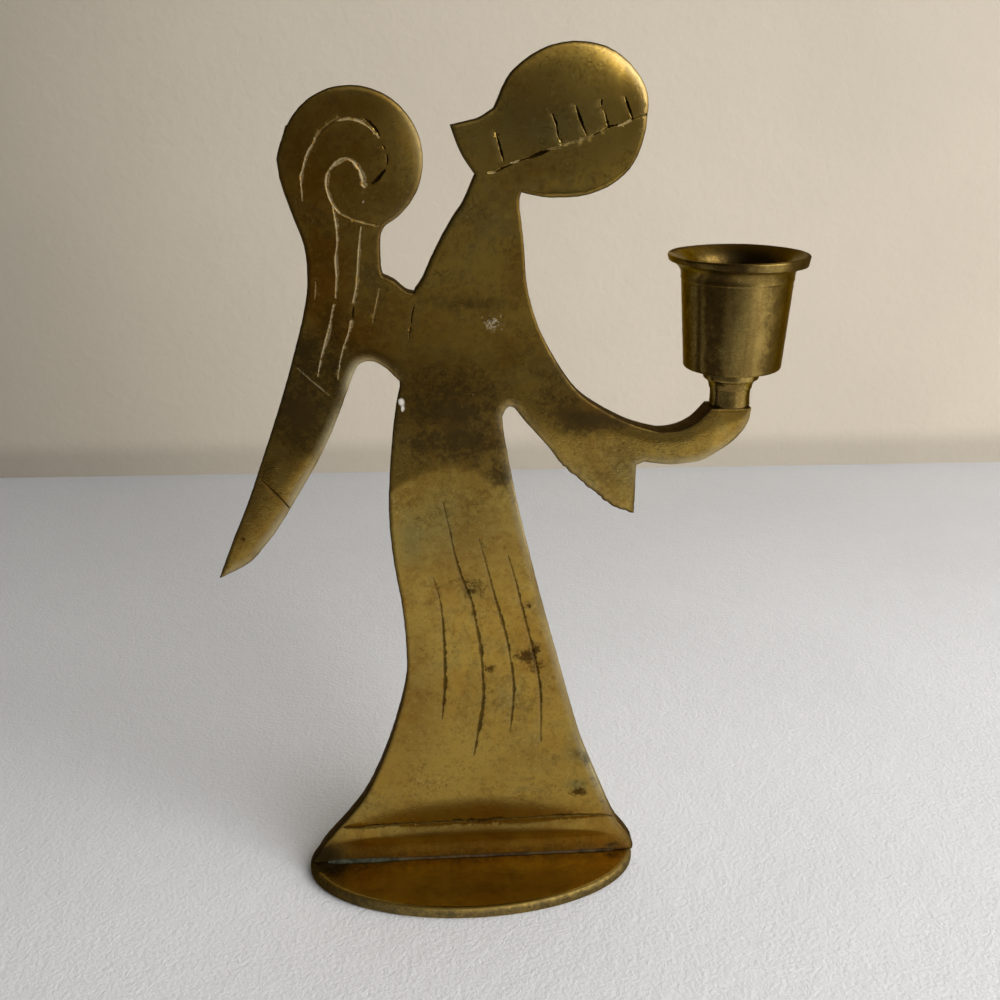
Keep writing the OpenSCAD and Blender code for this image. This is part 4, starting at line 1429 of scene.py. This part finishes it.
    def rows_along(self, traced: np.ndarray, halves: np.ndarray, edges: Sequence[Link]) -> np.ndarray:
        """Picks the points that the engraved lines need across their width and round their ends.

        Args:
            traced: Points of the lines.
            halves: Half widths of the lines.
            edges: The edges that join the points.

        Returns:
            The points to add to the face.
        """
        a, b = np.array(edges).T
        across = sideways(traced[b] - traced[a])
        rows = [traced[a] + across * (halves[a] * share)[:, None]
                for share in (0.0, -0.45, 0.45, -0.8, 0.8, -1.15, 1.15, -1.7, 1.7)]
        ends = traced[np.bincount(np.concatenate([a, b]), minlength=len(traced)) == 1]
        rows += [ends + reach * np.array([np.cos(turn), np.sin(turn)])
                 for turn in np.radians(np.arange(0, 360, 45)) for reach in (0.12, 0.25, 0.42)]
        return np.vstack(rows)

    @staticmethod
    def wound(points: np.ndarray, triangle: Sequence[int], side: int) -> tuple[int, ...]:
        """Turns a triangle so that it faces out of the face or the back.

        Args:
            points: Places in the plane of the plate.
            triangle: Three vertex numbers.
            side: -1 for the face, 1 for the back.

        Returns:
            The triangle in the right order.
        """
        a, b, c = (points[i] for i in triangle)
        area = (b[0] - a[0]) * (c[1] - a[1]) - (c[0] - a[0]) * (b[1] - a[1])
        return tuple(triangle) if (area > 0) == (side < 0) else tuple(reversed(triangle))


@dataclass
class OvalFoot:
    """The flat oval foot with its worn rim."""

    length: float = 83.6
    depth: float = 44.0
    thickness: float = 3.0
    rim_r: float = 1.5
    under_r: float = 1.0
    around: int = 220
    under_steps: tuple[float, ...] = (9.0, 6.0, 2.0)
    top_steps: tuple[float, ...] = (1.6, 3.0, 5.5, 9.0)
    inner_shares: tuple[float, ...] = (0.85, 0.8, 0.75, 0.667, 0.5)

    def build(self, finish: bpy.types.Material) -> bpy.types.Object:
        """Makes the foot from rings that step in from its outline.

        Args:
            finish: The foot's finish.

        Returns:
            The dressed foot.
        """
        t = np.linspace(0, 2 * np.pi, self.around, endpoint=False)
        edge = np.stack([self.length / 2 * np.cos(t), self.depth / 2 * np.sin(t)], 1)
        out = np.stack([np.cos(t) / self.length, np.sin(t) / self.depth], 1)
        out /= np.linalg.norm(out, axis=1)[:, None]
        steps = [(inset, 0.0) for inset in self.under_steps]
        for a in np.radians(np.linspace(-90, 0, 5)):
            steps.append((self.under_r * (1 - math.cos(a)), self.under_r * (1 + math.sin(a))))
        for a in np.radians(np.linspace(0, 90, 8)):
            steps.append((self.rim_r * (1 - math.cos(a)), self.thickness - self.rim_r * (1 - math.sin(a))))
        steps += [(inset, self.thickness) for inset in self.top_steps]
        rows = [np.column_stack([edge - out * inset, np.full(self.around, z)]) for inset, z in steps]
        for share in self.inner_shares:
            rows.append(rows[-1] * (share, share, 1.0))
        n, last = self.around, (len(rows) - 1) * self.around
        faces = [(row + i, row + (i + 1) % n, row + (i + 1) % n + n, row + i + n)
                 for row in range(0, last, n) for i in range(n)]
        faces += [tuple(reversed(range(n))), tuple(range(last, last + n))]
        made = object_from("oval_foot", np.vstack(rows), faces)
        made.data.polygons.foreach_set("use_smooth", [True] * len(faces))
        write_attributes(made, self.age(*np.vstack(rows).T[:2]))
        made.data.materials.append(finish)
        return made

    def age(self, x: np.ndarray, y: np.ndarray) -> dict[str, np.ndarray]:
        """Works out the foot's marks of age and its painted light: its rim is dull and lightened by a painted
        highlight, and painted shade darkens its left end and the right of its rim.

        Args:
            x: Places along X.
            y: Places along Y.

        Returns:
            The numbers that each point carries, by name.
        """
        rim = np.clip(1 - (1 - np.hypot(x / (self.length / 2), y / (self.depth / 2))) / 0.05, 0, 1)
        left = np.clip((-x - 20) / 18, 0, 1)
        # Painted shade on the left end, most on the strip just before the plate, and on the rim, most on its
        # right; painted highlight on the rim except at the left end.
        return {
            "grime": np.clip(0.45 * rim + 0.4 * rim * left + 0.9 * left * (np.abs(y + 2.5) < 3.5), 0, 1),
            "tarnish": np.clip(0.8 * rim * left + 0.6 * left + 0.25, 0, 1),
            "skin": rim * (0.15 + 0.4 * np.clip((x - 8) / 14, 0, 1)),
            "edge": 0.2 * rim * (1 - left),
            "soft": 0.9 * rim,
            "stain": 0.9 * np.exp(-((x + 37) / 3.5) ** 2 - ((y + 3.4) / 1.7) ** 2),
        }


def bead_tree() -> PieceTree:
    """Makes the tree that runs an uneven bead of solder along a line.

    Returns:
        The geometry tree.
    """
    g = PieceTree("solder_bead", {
        "Radius": 0.0008, "Uneven": 0.5, "Lump Scale": 160.0, "Left Swell": 0.5, "Seed": 0.0})
    pin = g.pin
    here = g.position()
    x = g.split(here)[0]
    lump = g.noise(g.join(x, pin["Seed"], 0.0), pin["Lump Scale"], 3, 0.6)
    swell = pin["Left Swell"] * g.ramp(x, *BEAD_SWELL)
    size = 1 + swell + (lump - 0.5) * (pin["Uneven"] * 2)
    ends = g.ramp(g.math("ABSOLUTE", x), *BEAD_END, 0.2, 1)
    path = g.get("GeometryNodeMeshToCurve", 0, {"Mesh": pin["Geometry"]})
    path = g.get("GeometryNodeSetCurveRadius", 0, {"Curve": path, "Radius": size * ends * pin["Radius"]})
    circle = g.get("GeometryNodeCurvePrimitiveCircle", 0, {"Resolution": 14, "Radius": 1.0})
    thick, outwards = g.get("GeometryNodeInputRadius", 0), g.get("GeometryNodeInputNormal", 0)
    bead = g.get("GeometryNodeCurveToMesh", 0, {
        "Curve": path, "Profile Curve": circle, "Scale": thick, "Fill Caps": True})
    grain = (g.noise(here, *BEAD_GRAIN) - 0.5) * BEAD_GRAIN_H
    push = g.get("ShaderNodeVectorMath", 0, {0: outwards, "Scale": grain}, operation="SCALE")
    return g.close(g.move(bead, Offset=push))


@dataclass
class SolderSeam:
    """The beads of solder that hold the plate on the foot, before and behind it."""

    half_l: float = 37.0
    plate_t: float = 4.0
    foot_t: float = 3.0
    radius: float = 0.46
    clear: float = 0.05
    points: int = 260
    uneven: float = 0.45
    lump_scale: float = 170.0

    def build(self, finish: bpy.types.Material) -> dict[str, bpy.types.Object]:
        """Makes both beads.

        Args:
            finish: The solder's finish.

        Returns:
            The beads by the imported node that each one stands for.
        """
        tree = bead_tree()
        x = np.linspace(-self.half_l, self.half_l, self.points)
        y, z = np.full_like(x, self.plate_t / 2 + self.clear), np.full_like(x, self.foot_t + self.clear)
        beads = {}
        for node, side, swell, seed in (("solder_front", -1, 0.75, 0.31), ("solder_back", 1, 0.2, 0.77)):
            bead = object_from(f"{node}_bead", np.stack([x, side * y, z], 1), (), chain(len(x)))
            tree.bake(bead, {"Radius": self.radius * MM, "Uneven": self.uneven, "Lump Scale": self.lump_scale,
                             "Left Swell": swell, "Seed": seed, "Finish": finish})
            beads[node] = bead
        return beads


def turned_tree() -> PieceTree:
    """Makes the tree that turns a profile about the cup's axis, as a lathe does.

    The profile is a row of points: radius along X, height along Z. Each point carries how far it wanders
    (uneven), leans to the left (slide) and hangs down on the right (sag).

    Returns:
        The geometry tree.
    """
    g = PieceTree("turned_piece", {"Count": 8, "Around": 128, "Axis X": 0.06, "Wander": 0.0002,
                                   "Wander Scale": 60.0, "Lean": 0.0, "Droop": 0.0})
    pin = g.pin
    columns = pin["Around"] + 1
    grid = g.get("GeometryNodeMeshGrid", "Mesh", {"Vertices X": pin["Count"], "Vertices Y": columns})
    number = g.get("GeometryNodeInputIndex", 0)
    row = g.math("FLOOR", (number + 0.5) / columns)
    angle = (number - row * columns) * (math.tau / pin["Around"])
    cosine, sine = g.math("COSINE", angle), g.math("SINE", angle)

    def of_row(label: str) -> Value:
        """Reads a number of the profile's point in this row."""
        return g.sample(pin["Geometry"], g.named(label), row)

    radius, _, height = g.split(g.sample(pin["Geometry"], g.position(), row, "FLOAT_VECTOR"))
    lump = g.noise(g.join(cosine * 0.015, sine * 0.015, height), pin["Wander Scale"]) - 0.5
    shift = lump * of_row("uneven") * pin["Wander"]
    radius = radius + shift
    middle = pin["Axis X"] - of_row("slide") * pin["Lean"]
    hang = of_row("sag") * pin["Droop"] * (cosine + 0.15)
    turned = g.move(grid, Position=g.join(middle + radius * cosine, radius * sine, height + shift * 0.6 - hang))
    return g.close(g.get("GeometryNodeMergeByDistance", 0, {"Geometry": turned, "Distance": WELD}))


def rounded(corners: Sequence[Triple], steps: int = 5) -> np.ndarray:
    """Rounds the corners of a closed profile.

    Args:
        corners: Radius, height and rounding of each corner.
        steps: Points on each rounding.

    Returns:
        The rounded profile, closed.
    """
    rows = []
    places = np.array([(x, z) for x, z, _ in corners])
    for a, p, b, (_, _, r) in zip(np.roll(places, 1, axis=0), places, np.roll(places, -1, axis=0), corners):
        if r <= 0:
            rows.append(p)
            continue
        u, v = (a - p) / np.linalg.norm(a - p), (b - p) / np.linalg.norm(b - p)
        half = math.acos(float(np.clip(u @ v, -1, 1))) / 2
        back = min(r / math.tan(half), 0.48 * np.linalg.norm(a - p), 0.48 * np.linalg.norm(b - p))
        start, end = p + u * back, p + v * back
        rows += [(1 - t) ** 2 * start + 2 * t * (1 - t) * p + t * t * end for t in np.linspace(0, 1, steps)]
    return np.array([*rows, rows[0]])


@dataclass
class CandleCup:
    """The turned cup, its collar and its neck, on the axis that stands on the palm."""

    axis_x: float = 60.2
    palm_z: float = 122.45
    neck_h: float = 3.9
    cone_h: float = 1.7
    collar_h: float = 3.0
    height: float = 24.8
    rim_r: float = 15.25
    rim_t: float = 1.75
    draft: float = 0.4
    body_top_r: float = 12.1
    body_bottom_r: float = 10.7
    mouth_r: float = 14.0
    mouth_d: float = 3.6
    socket_r: float = 9.75
    floor_t: float = 2.6
    countersink_r: float = 3.1
    countersink_d: float = 1.4
    hole_r: float = 1.7
    neck_r: float = 4.5
    collar_r: float = 6.2
    around: int = 192
    wander: float = 0.4
    wander_scale: float = 75.0
    small_wander: float = 0.3
    lean: float = 0.32
    droop: float = 0.45
    # Tarnish and grime of the cup's outside by direction, which also paint its bands of shade and highlight:
    # degrees from +X, the front at -90.
    tarnish_and_shade_by_turn: tuple[Triple, ...] = (
        (-195.0, 0.8, 0.4), (-160.0, 0.75, 0.35), (-149.0, 0.3, 0.12), (-138.0, 0.3, 0.12), (-131.0, 1.0, 0.5),
        (-119.0, 1.0, 0.5), (-110.0, 0.55, 0.2), (-100.0, 0.35, 0.12), (-76.0, 0.3, 0.14), (-66.0, 0.5, 0.4),
        (-54.0, 0.95, 0.7), (20.0, 0.9, 0.6), (90.0, 0.5, 0.3), (165.0, 0.8, 0.4))

    @property
    def low(self) -> float:
        """Height of the cup's underside."""
        return self.palm_z + self.neck_h + self.cone_h + self.collar_h

    @property
    def top(self) -> float:
        """Height of the cup's lip."""
        return self.low + self.height

    def cup_profile(self) -> tuple[np.ndarray, np.ndarray]:
        """Lays out the cup's section.

        Returns:
            The closed profile, and how far each of its points wanders, leans and sags.
        """
        low, top, under = self.low, self.top, self.top - self.rim_t
        body, lip = self.body_top_r, self.rim_r - self.draft
        cove = lip - body
        corners = [(self.hole_r, low, 0), (self.body_bottom_r, low, 0.7),
                   (body - 0.04, under - cove - 0.9, 0.3), (body + 0.1, under - cove - 0.6, 0.25),
                   (body + 0.08, under - cove, 0)]
        for a, lift in ((20, 0), (40, 0), (60, 0), (80, 0.05)):
            turn = math.radians(a)
            corners.append((body + cove * (1 - math.cos(turn)), under - cove * (1 - math.sin(turn)) + lift, 0))
        corners += [(lip, under, 0.35), (self.rim_r, top, 0.4), (self.mouth_r + 0.25, top, 0.35)]
        for a in (12, 30, 50, 70, 90):
            sine, cosine = math.sin(math.radians(a)), math.cos(math.radians(a))
            corners.append((self.mouth_r - (self.mouth_r - self.socket_r) * sine,
                            top - self.mouth_d * (1 - cosine) - 0.2 * cosine, 0))
        floor = low + self.floor_t
        corners += [(self.socket_r, floor, 0.5), (self.countersink_r, floor, 0.1),
                    (self.hole_r, floor - self.countersink_d, 0)]
        profile = rounded(corners)
        r, z = profile.T
        order, rim = np.arange(len(profile)), int(np.argmax(z))
        inner = (order > rim) & (order < len(profile) - 1)
        uneven = np.interp(z, [low, top - 6, top - 2.2, top], [0.15, 0.2, 0.8, 1.0])
        slide = np.where(inner, np.interp(z, [top - 3.2, top - 0.5], [0.0, 1.0]), 0.0)
        sag = np.where(order <= rim, np.exp(-((z - under) / 0.45) ** 2) * (r > body + 0.8), 0.0)
        return profile, np.stack([uneven, slide, sag], 1)

    def small_profile(self, corners: Sequence[Triple], low: float, top: float) -> tuple[np.ndarray, np.ndarray]:
        """Closes the section of the neck or collar round the screw's hole.

        Args:
            corners: Radius, height and rounding of the corners outside.
            low: Where the piece starts.
            top: Where the piece ends.

        Returns:
            The closed profile, and how far each of its points wanders, leans and sags.
        """
        profile = rounded([(self.hole_r, low, 0), *corners, (self.hole_r, top, 0)])
        return profile, np.tile((self.small_wander, 0.0, 0.0), (len(profile), 1))

    def neck_profile(self) -> tuple[np.ndarray, np.ndarray]:
        """Lays out the neck's section, slightly waisted."""
        low, top, r = self.palm_z, self.palm_z + self.neck_h, self.neck_r
        corners = [(r + 0.05, low, 0.15), (r - 0.05, low + 1.2, 0), (r - 0.08, low + 2.4, 0),
                   (r + 0.05, top, 0.1)]
        return self.small_profile(corners, low, top)

    def collar_profile(self) -> tuple[np.ndarray, np.ndarray]:
        """Lays out the collar's section, a cone below and a rounded band above."""
        low, r = self.palm_z + self.neck_h, self.collar_r
        mid, top = low + self.cone_h, low + self.cone_h + self.collar_h
        corners = [(self.neck_r + 0.22, low, 0.1), (self.neck_r + 0.45, mid - 0.55, 0.3),
                   (r - 0.75, mid + 0.25, 0.35), (r - 0.1, mid + 0.6, 0.25), (r, mid + 1.0, 0.3),
                   (r, top - 0.3, 0.25), (r - 0.35, top, 0.2)]
        return self.small_profile(corners, low, top)

    def build(self, finish: bpy.types.Material) -> dict[str, bpy.types.Object]:
        """Turns the three pieces.

        Args:
            finish: Their finish.

        Returns:
            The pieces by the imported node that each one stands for.
        """
        tree = turned_tree()
        pieces = {}
        for node, name, (profile, loose) in (("candle_cup", "turned_cup", self.cup_profile()),
                                             ("cup_collar", "turned_collar", self.collar_profile()),
                                             ("cup_neck", "turned_neck", self.neck_profile())):
            made = wire_from(name, profile, chain(len(profile)))
            write_attributes(made, dict(zip(("uneven", "slide", "sag"), loose.T)))
            tree.bake(made, {
                "Count": len(profile), "Around": self.around, "Axis X": self.axis_x * MM,
                "Wander": self.wander * MM, "Wander Scale": self.wander_scale,
                "Lean": self.lean * MM, "Droop": self.droop * MM, "Finish": finish})
            self.face_outwards(made)
            self.age(made)
            pieces[node] = made
        return pieces

    def age(self, made: bpy.types.Object) -> None:
        """Stores how dirty, tarnished and dark a turned piece is: most inside, on its lip and on its right,
        with painted shade where it faces away from the light and a painted highlight where its lip faces it.

        Args:
            made: The turned piece.
        """
        places = np.empty(3 * len(made.data.vertices), np.float32)
        made.data.vertices.foreach_get("co", places)
        x, y, z = (places.reshape(-1, 3) / MM).T
        x = x - self.axis_x
        low, top = self.low, self.top
        radius, turn = np.hypot(x, y), np.degrees(np.arctan2(y, x))
        turn = np.where(turn > 165, turn - 360, turn)
        heights = [low + 1, top - self.mouth_d - 0.3, top - self.mouth_d * 0.5, top + 0.2]
        inside = (radius < np.interp(z, heights, [10.25, 10.5, 12.3, 14.5])) & (z > low + 1)
        rim = (z > top - self.rim_t - 0.2) & ~inside
        small = z < low - 0.02
        wobble = 3.5 * np.sin(z / 2.1) + 2.5 * np.sin(z / 0.8 + 1)
        at, worn, gritty = np.array(self.tarnish_and_shade_by_turn).T

        def towards(direction: float) -> np.ndarray:
            """Gives how far each point faces a direction, from 1 to -1."""
            return np.cos(np.radians(turn - direction))

        # lit and shaded tell which way a point faces the light; they paint highlight and shade into the
        # tarnish, the grime and the painted shade below.
        lit = np.clip((towards(-80) - 0.93) / 0.06, 0, 1)
        shaded = np.clip((towards(25) - 0.1) / 0.6, 0, 1)
        flank = np.clip((0.66 - towards(-107)) / 0.25, 0, 1)
        near = np.clip((-turn - 90) / 40, 0, 1)

        def by_part(*levels: np.ndarray) -> np.ndarray:
            """Takes one level inside, one on the lip, one on neck and collar and the last elsewhere."""
            return np.select([inside, rim, small], levels[:3], levels[3])

        # Painted shade on the lip: most at the back and the right, less at the front and where the lip faces
        # the light.
        dark = 0.42 * (1 - near) - 0.2 * lit + 0.25 * np.clip((turn + 55) / 25, 0, 1)
        write_attributes(made, {
            "tarnish": by_part(0.6 + 0.4 * shaded, 0.95 - 0.75 * lit - 0.45 * near, 0.1 + 0.9 * flank,
                               np.interp(turn + wobble, at, worn)),
            "grime": by_part(0.45 + 0.5 * shaded, 0.7 - 0.55 * lit - 0.5 * near, 0.1 + 0.8 * flank,
                             np.interp(turn + wobble, at, gritty)),
            "skin": np.where(rim, dark, 0.0)})

    @staticmethod
    def face_outwards(made: bpy.types.Object) -> None:
        """Turns all faces of a closed turned piece outwards."""
        bm = bmesh.new()
        bm.from_mesh(made.data)
        bmesh.ops.remove_doubles(bm, verts=bm.verts, dist=2e-6)
        bmesh.ops.recalc_face_normals(bm, faces=bm.faces)
        if bm.calc_volume(signed=True) < 0:
            bmesh.ops.reverse_faces(bm, faces=bm.faces)
        bm.to_mesh(made.data)
        bm.free()


@dataclass(frozen=True)
class Lamp:
    """A soft lamp: where it hangs, what it points at and how large, strong and warm it is."""

    name: str
    at: Triple
    aim: Triple
    size: Pair
    power: float
    tint: Colour = DAYLIGHT

    def hang(self) -> None:
        """Hangs the lamp in the room."""
        light = bpy.data.lights.new(self.name, "AREA")
        light.shape = "RECTANGLE"
        light.size, light.size_y = self.size[0] * MM, self.size[1] * MM
        light.energy, light.color = self.power, self.tint
        lamp = bpy.data.objects.new(self.name, light)
        bpy.context.scene.collection.objects.link(lamp)
        lamp.visible_camera = False
        lamp.location = Vector(self.at) * MM
        lamp.rotation_euler = (Vector(self.aim) - Vector(self.at)).to_track_quat("-Z", "Y").to_euler()


@dataclass
class Room:
    """The pale table, the wall behind it, the daylight from the right and the camera."""

    table_front: tuple[Pair, Pair] = ((-900.0, 193.0), (430.0, -538.0))
    table_right: float = 640.0
    table_t: float = 18.0
    wall_y: float = 309.6
    wall_turn: float = -0.0337
    wall_low: float = -900.0
    wall_top: float = 1500.0
    half_w: float = 1300.0
    # Both finishes carry painted shade: the table darkens from its front towards its middle and more towards
    # its back; the wall darkens towards its left, a little towards its right and its top, and at its foot where
    # the table meets it.
    table_finish: PaleSurface = PaleSurface(
        "pale_table", (0.885, 0.905, 0.945), 900.0, 0.75,
        (PaintedShade(1, -150.0, -20.0, 0.91), PaintedShade(1, 40.0, 280.0, 0.82)))
    wall_finish: PaleSurface = PaleSurface(
        "cream_wall", (0.665, 0.595, 0.487), 150.0, 0.85,
        (PaintedShade(0, -60.0, -280.0, 0.70), PaintedShade(0, 90.0, 230.0, 0.94),
         PaintedShade(2, 21.0, 9.0, 0.8), PaintedShade(2, 20.0, 260.0, 0.91)))
    lamps: tuple[Lamp, ...] = (
        Lamp("window_right", (862, -231, 415), (0, 0, 90), (700, 800), 4.5),
        Lamp("window_front", (650, -610, 560), (0, 0, 90), (800, 800), 8.8),
        Lamp("window_low", (350, -1000, 520), (0, 0, 180), (1100, 300), 0.35),
        Lamp("ceiling_front", (120, -900, 900), (0, 0, 20), (900, 600), 1.0, (1.0, 0.98, 0.95)))
    # Brightness of the room by how far a direction points up, from -1 straight down to 1 straight up.
    shades: tuple[Pair, ...] = ((-1.0, 0.03), (-0.29, 0.03), (-0.2, 0.32), (-0.03, 0.14), (0.08, 0.16),
                                (0.25, 0.16), (0.6, 0.11), (1.0, 0.11))
    room_tint: Colour = (1.0, 0.985, 0.955)
    camera_at: Triple = (-4.71, -239.56, 191.84)
    pitch: float = 20.80
    heading: float = -3.095
    roll: float = -0.527
    focal: float = 1114.3
    photo_width: float = 1000.0

    def build(self) -> None:
        """Makes the table, the wall, the lamps and the camera."""
        w, (front_left, front_right) = self.half_w, self.table_front
        corners = [front_left, front_right, *((x, self.wall_at(x)) for x in (self.table_right, front_left[0]))]
        n = len(corners)
        faces = [tuple(range(n)), tuple(reversed(range(n, 2 * n)))]
        faces += [(i, i + n, (i + 1) % n + n, (i + 1) % n) for i in range(n)]
        places = np.array([(x, y, z) for z in (0, -self.table_t) for x, y in corners])
        table = object_from("table", places, faces)
        table.data.materials.append(self.table_finish.build())
        wall = object_from("wall", np.array([
            (-w, self.wall_at(-w), self.wall_low), (w, self.wall_at(w), self.wall_low),
            (w, self.wall_at(w), self.wall_top), (-w, self.wall_at(-w), self.wall_top)]), [(0, 1, 2, 3)])
        wall.data.materials.append(self.wall_finish.build())
        for lamp in self.lamps:
            lamp.hang()
        self.world()
        self.camera()

    def wall_at(self, x: float) -> float:
        """Gives how far back the wall stands at a place along X."""
        return self.wall_y + self.wall_turn * x

    def world(self) -> None:
        """Fills the room with a dim light, brightest just below eye level and on the right."""
        world = bpy.data.worlds.new("room")
        bpy.context.scene.world = world
        world.use_nodes = True
        world.node_tree.nodes.clear()
        g = Graph(world.node_tree)
        x, _, z = g.split(g.get("ShaderNodeTexCoord", "Generated"))
        shades = g.node("ShaderNodeValToRGB", {0: z * 0.5 + 0.5})
        stops = shades.color_ramp.elements
        for at, _ in self.shades[2:]:
            stops.new((at + 1) / 2)
        for stop, (at, level) in zip(stops, self.shades):
            stop.position = (at + 1) / 2
            stop.color = (*(level * tint for tint in self.room_tint), 1.0)
        colour = g.mix(1, shades.outputs[0], g.ramp(x, -0.55, 0.45, 0.55, 1.25), "MULTIPLY")
        back = g.node("ShaderNodeBackground", {"Color": colour, "Strength": 1.0})
        g.node("ShaderNodeOutputWorld", {"Surface": back.outputs[0]})

    def camera(self) -> None:
        """Sets the camera where the photograph was taken."""
        data = bpy.data.cameras.new("camera")
        data.sensor_width = 36.0
        data.lens = self.focal * data.sensor_width / self.photo_width
        data.clip_start, data.clip_end = 0.01, 20.0
        camera = bpy.data.objects.new("camera", data)
        bpy.context.scene.collection.objects.link(camera)
        turn = Matrix.Rotation(math.radians(self.heading), 4, "Z")
        for angle, axis in ((90.0 - self.pitch, "X"), (self.roll, "Z")):
            turn = turn @ Matrix.Rotation(math.radians(angle), 4, axis)
        camera.matrix_world = Matrix.Translation(Vector(self.camera_at) * MM) @ turn
        bpy.context.scene.camera = camera


def place(piece: bpy.types.Object, node: str) -> None:
    """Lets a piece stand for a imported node.

    Args:
        piece: The dressed piece.
        node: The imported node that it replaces.
    """
    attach(piece, "root")
    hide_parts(node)
    LOG.info("%s stands for %s: %d faces", piece.name, node, len(piece.data.polygons))


def main() -> None:
    """Builds the room and every piece."""
    logging.basicConfig(level=logging.INFO, format="%(name)s: %(message)s")
    bpy.context.scene.view_settings.view_transform = "Standard"
    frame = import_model()
    Room().build()

    cup = CandleCup()
    cast_brass = AgedBrass("aged_cast_brass", (0.405, 0.262, 0.052), (0.235, 0.105, 0.009), rough=0.17,
                           grain=0.14, scratch=0.03, veins=0.5)
    foot_brass = AgedBrass("foot_brass", (0.46, 0.31, 0.062), (0.25, 0.148, 0.02), rough=0.22, clouds=0.35,
                           grain=0.15, scratch=0.2)
    cup_brass = AgedBrass("turned_brass", (0.36, 0.25, 0.075), (0.10, 0.06, 0.012), rough=0.27, clouds=0.4,
                          grain=0.2, scratch=0.1, turned=True, axis_x=cup.axis_x)
    screw_brass = AgedBrass("screw_brass", (0.35, 0.24, 0.09), (0.2, 0.12, 0.04), rough=0.4,
                            turned=True, axis_x=cup.axis_x)

    figure = FigurePlate().build(frame["nodes"]["figure_plate"], cast_brass.build())
    place(figure, "figure_plate")
    place(OvalFoot().build(foot_brass.build()), "base_plate")
    for node, bead in SolderSeam().build(OldSolder().build()).items():
        place(bead, node)
    for node, piece in cup.build(cup_brass.build()).items():
        place(piece, node)
    screw_finish = screw_brass.build()
    for slot in frame["nodes"]["cup_screw"].material_slots:
        slot.material = screw_finish
    LOG.info("cup_screw keeps its packed shape")


if __name__ == "__main__":
    main()
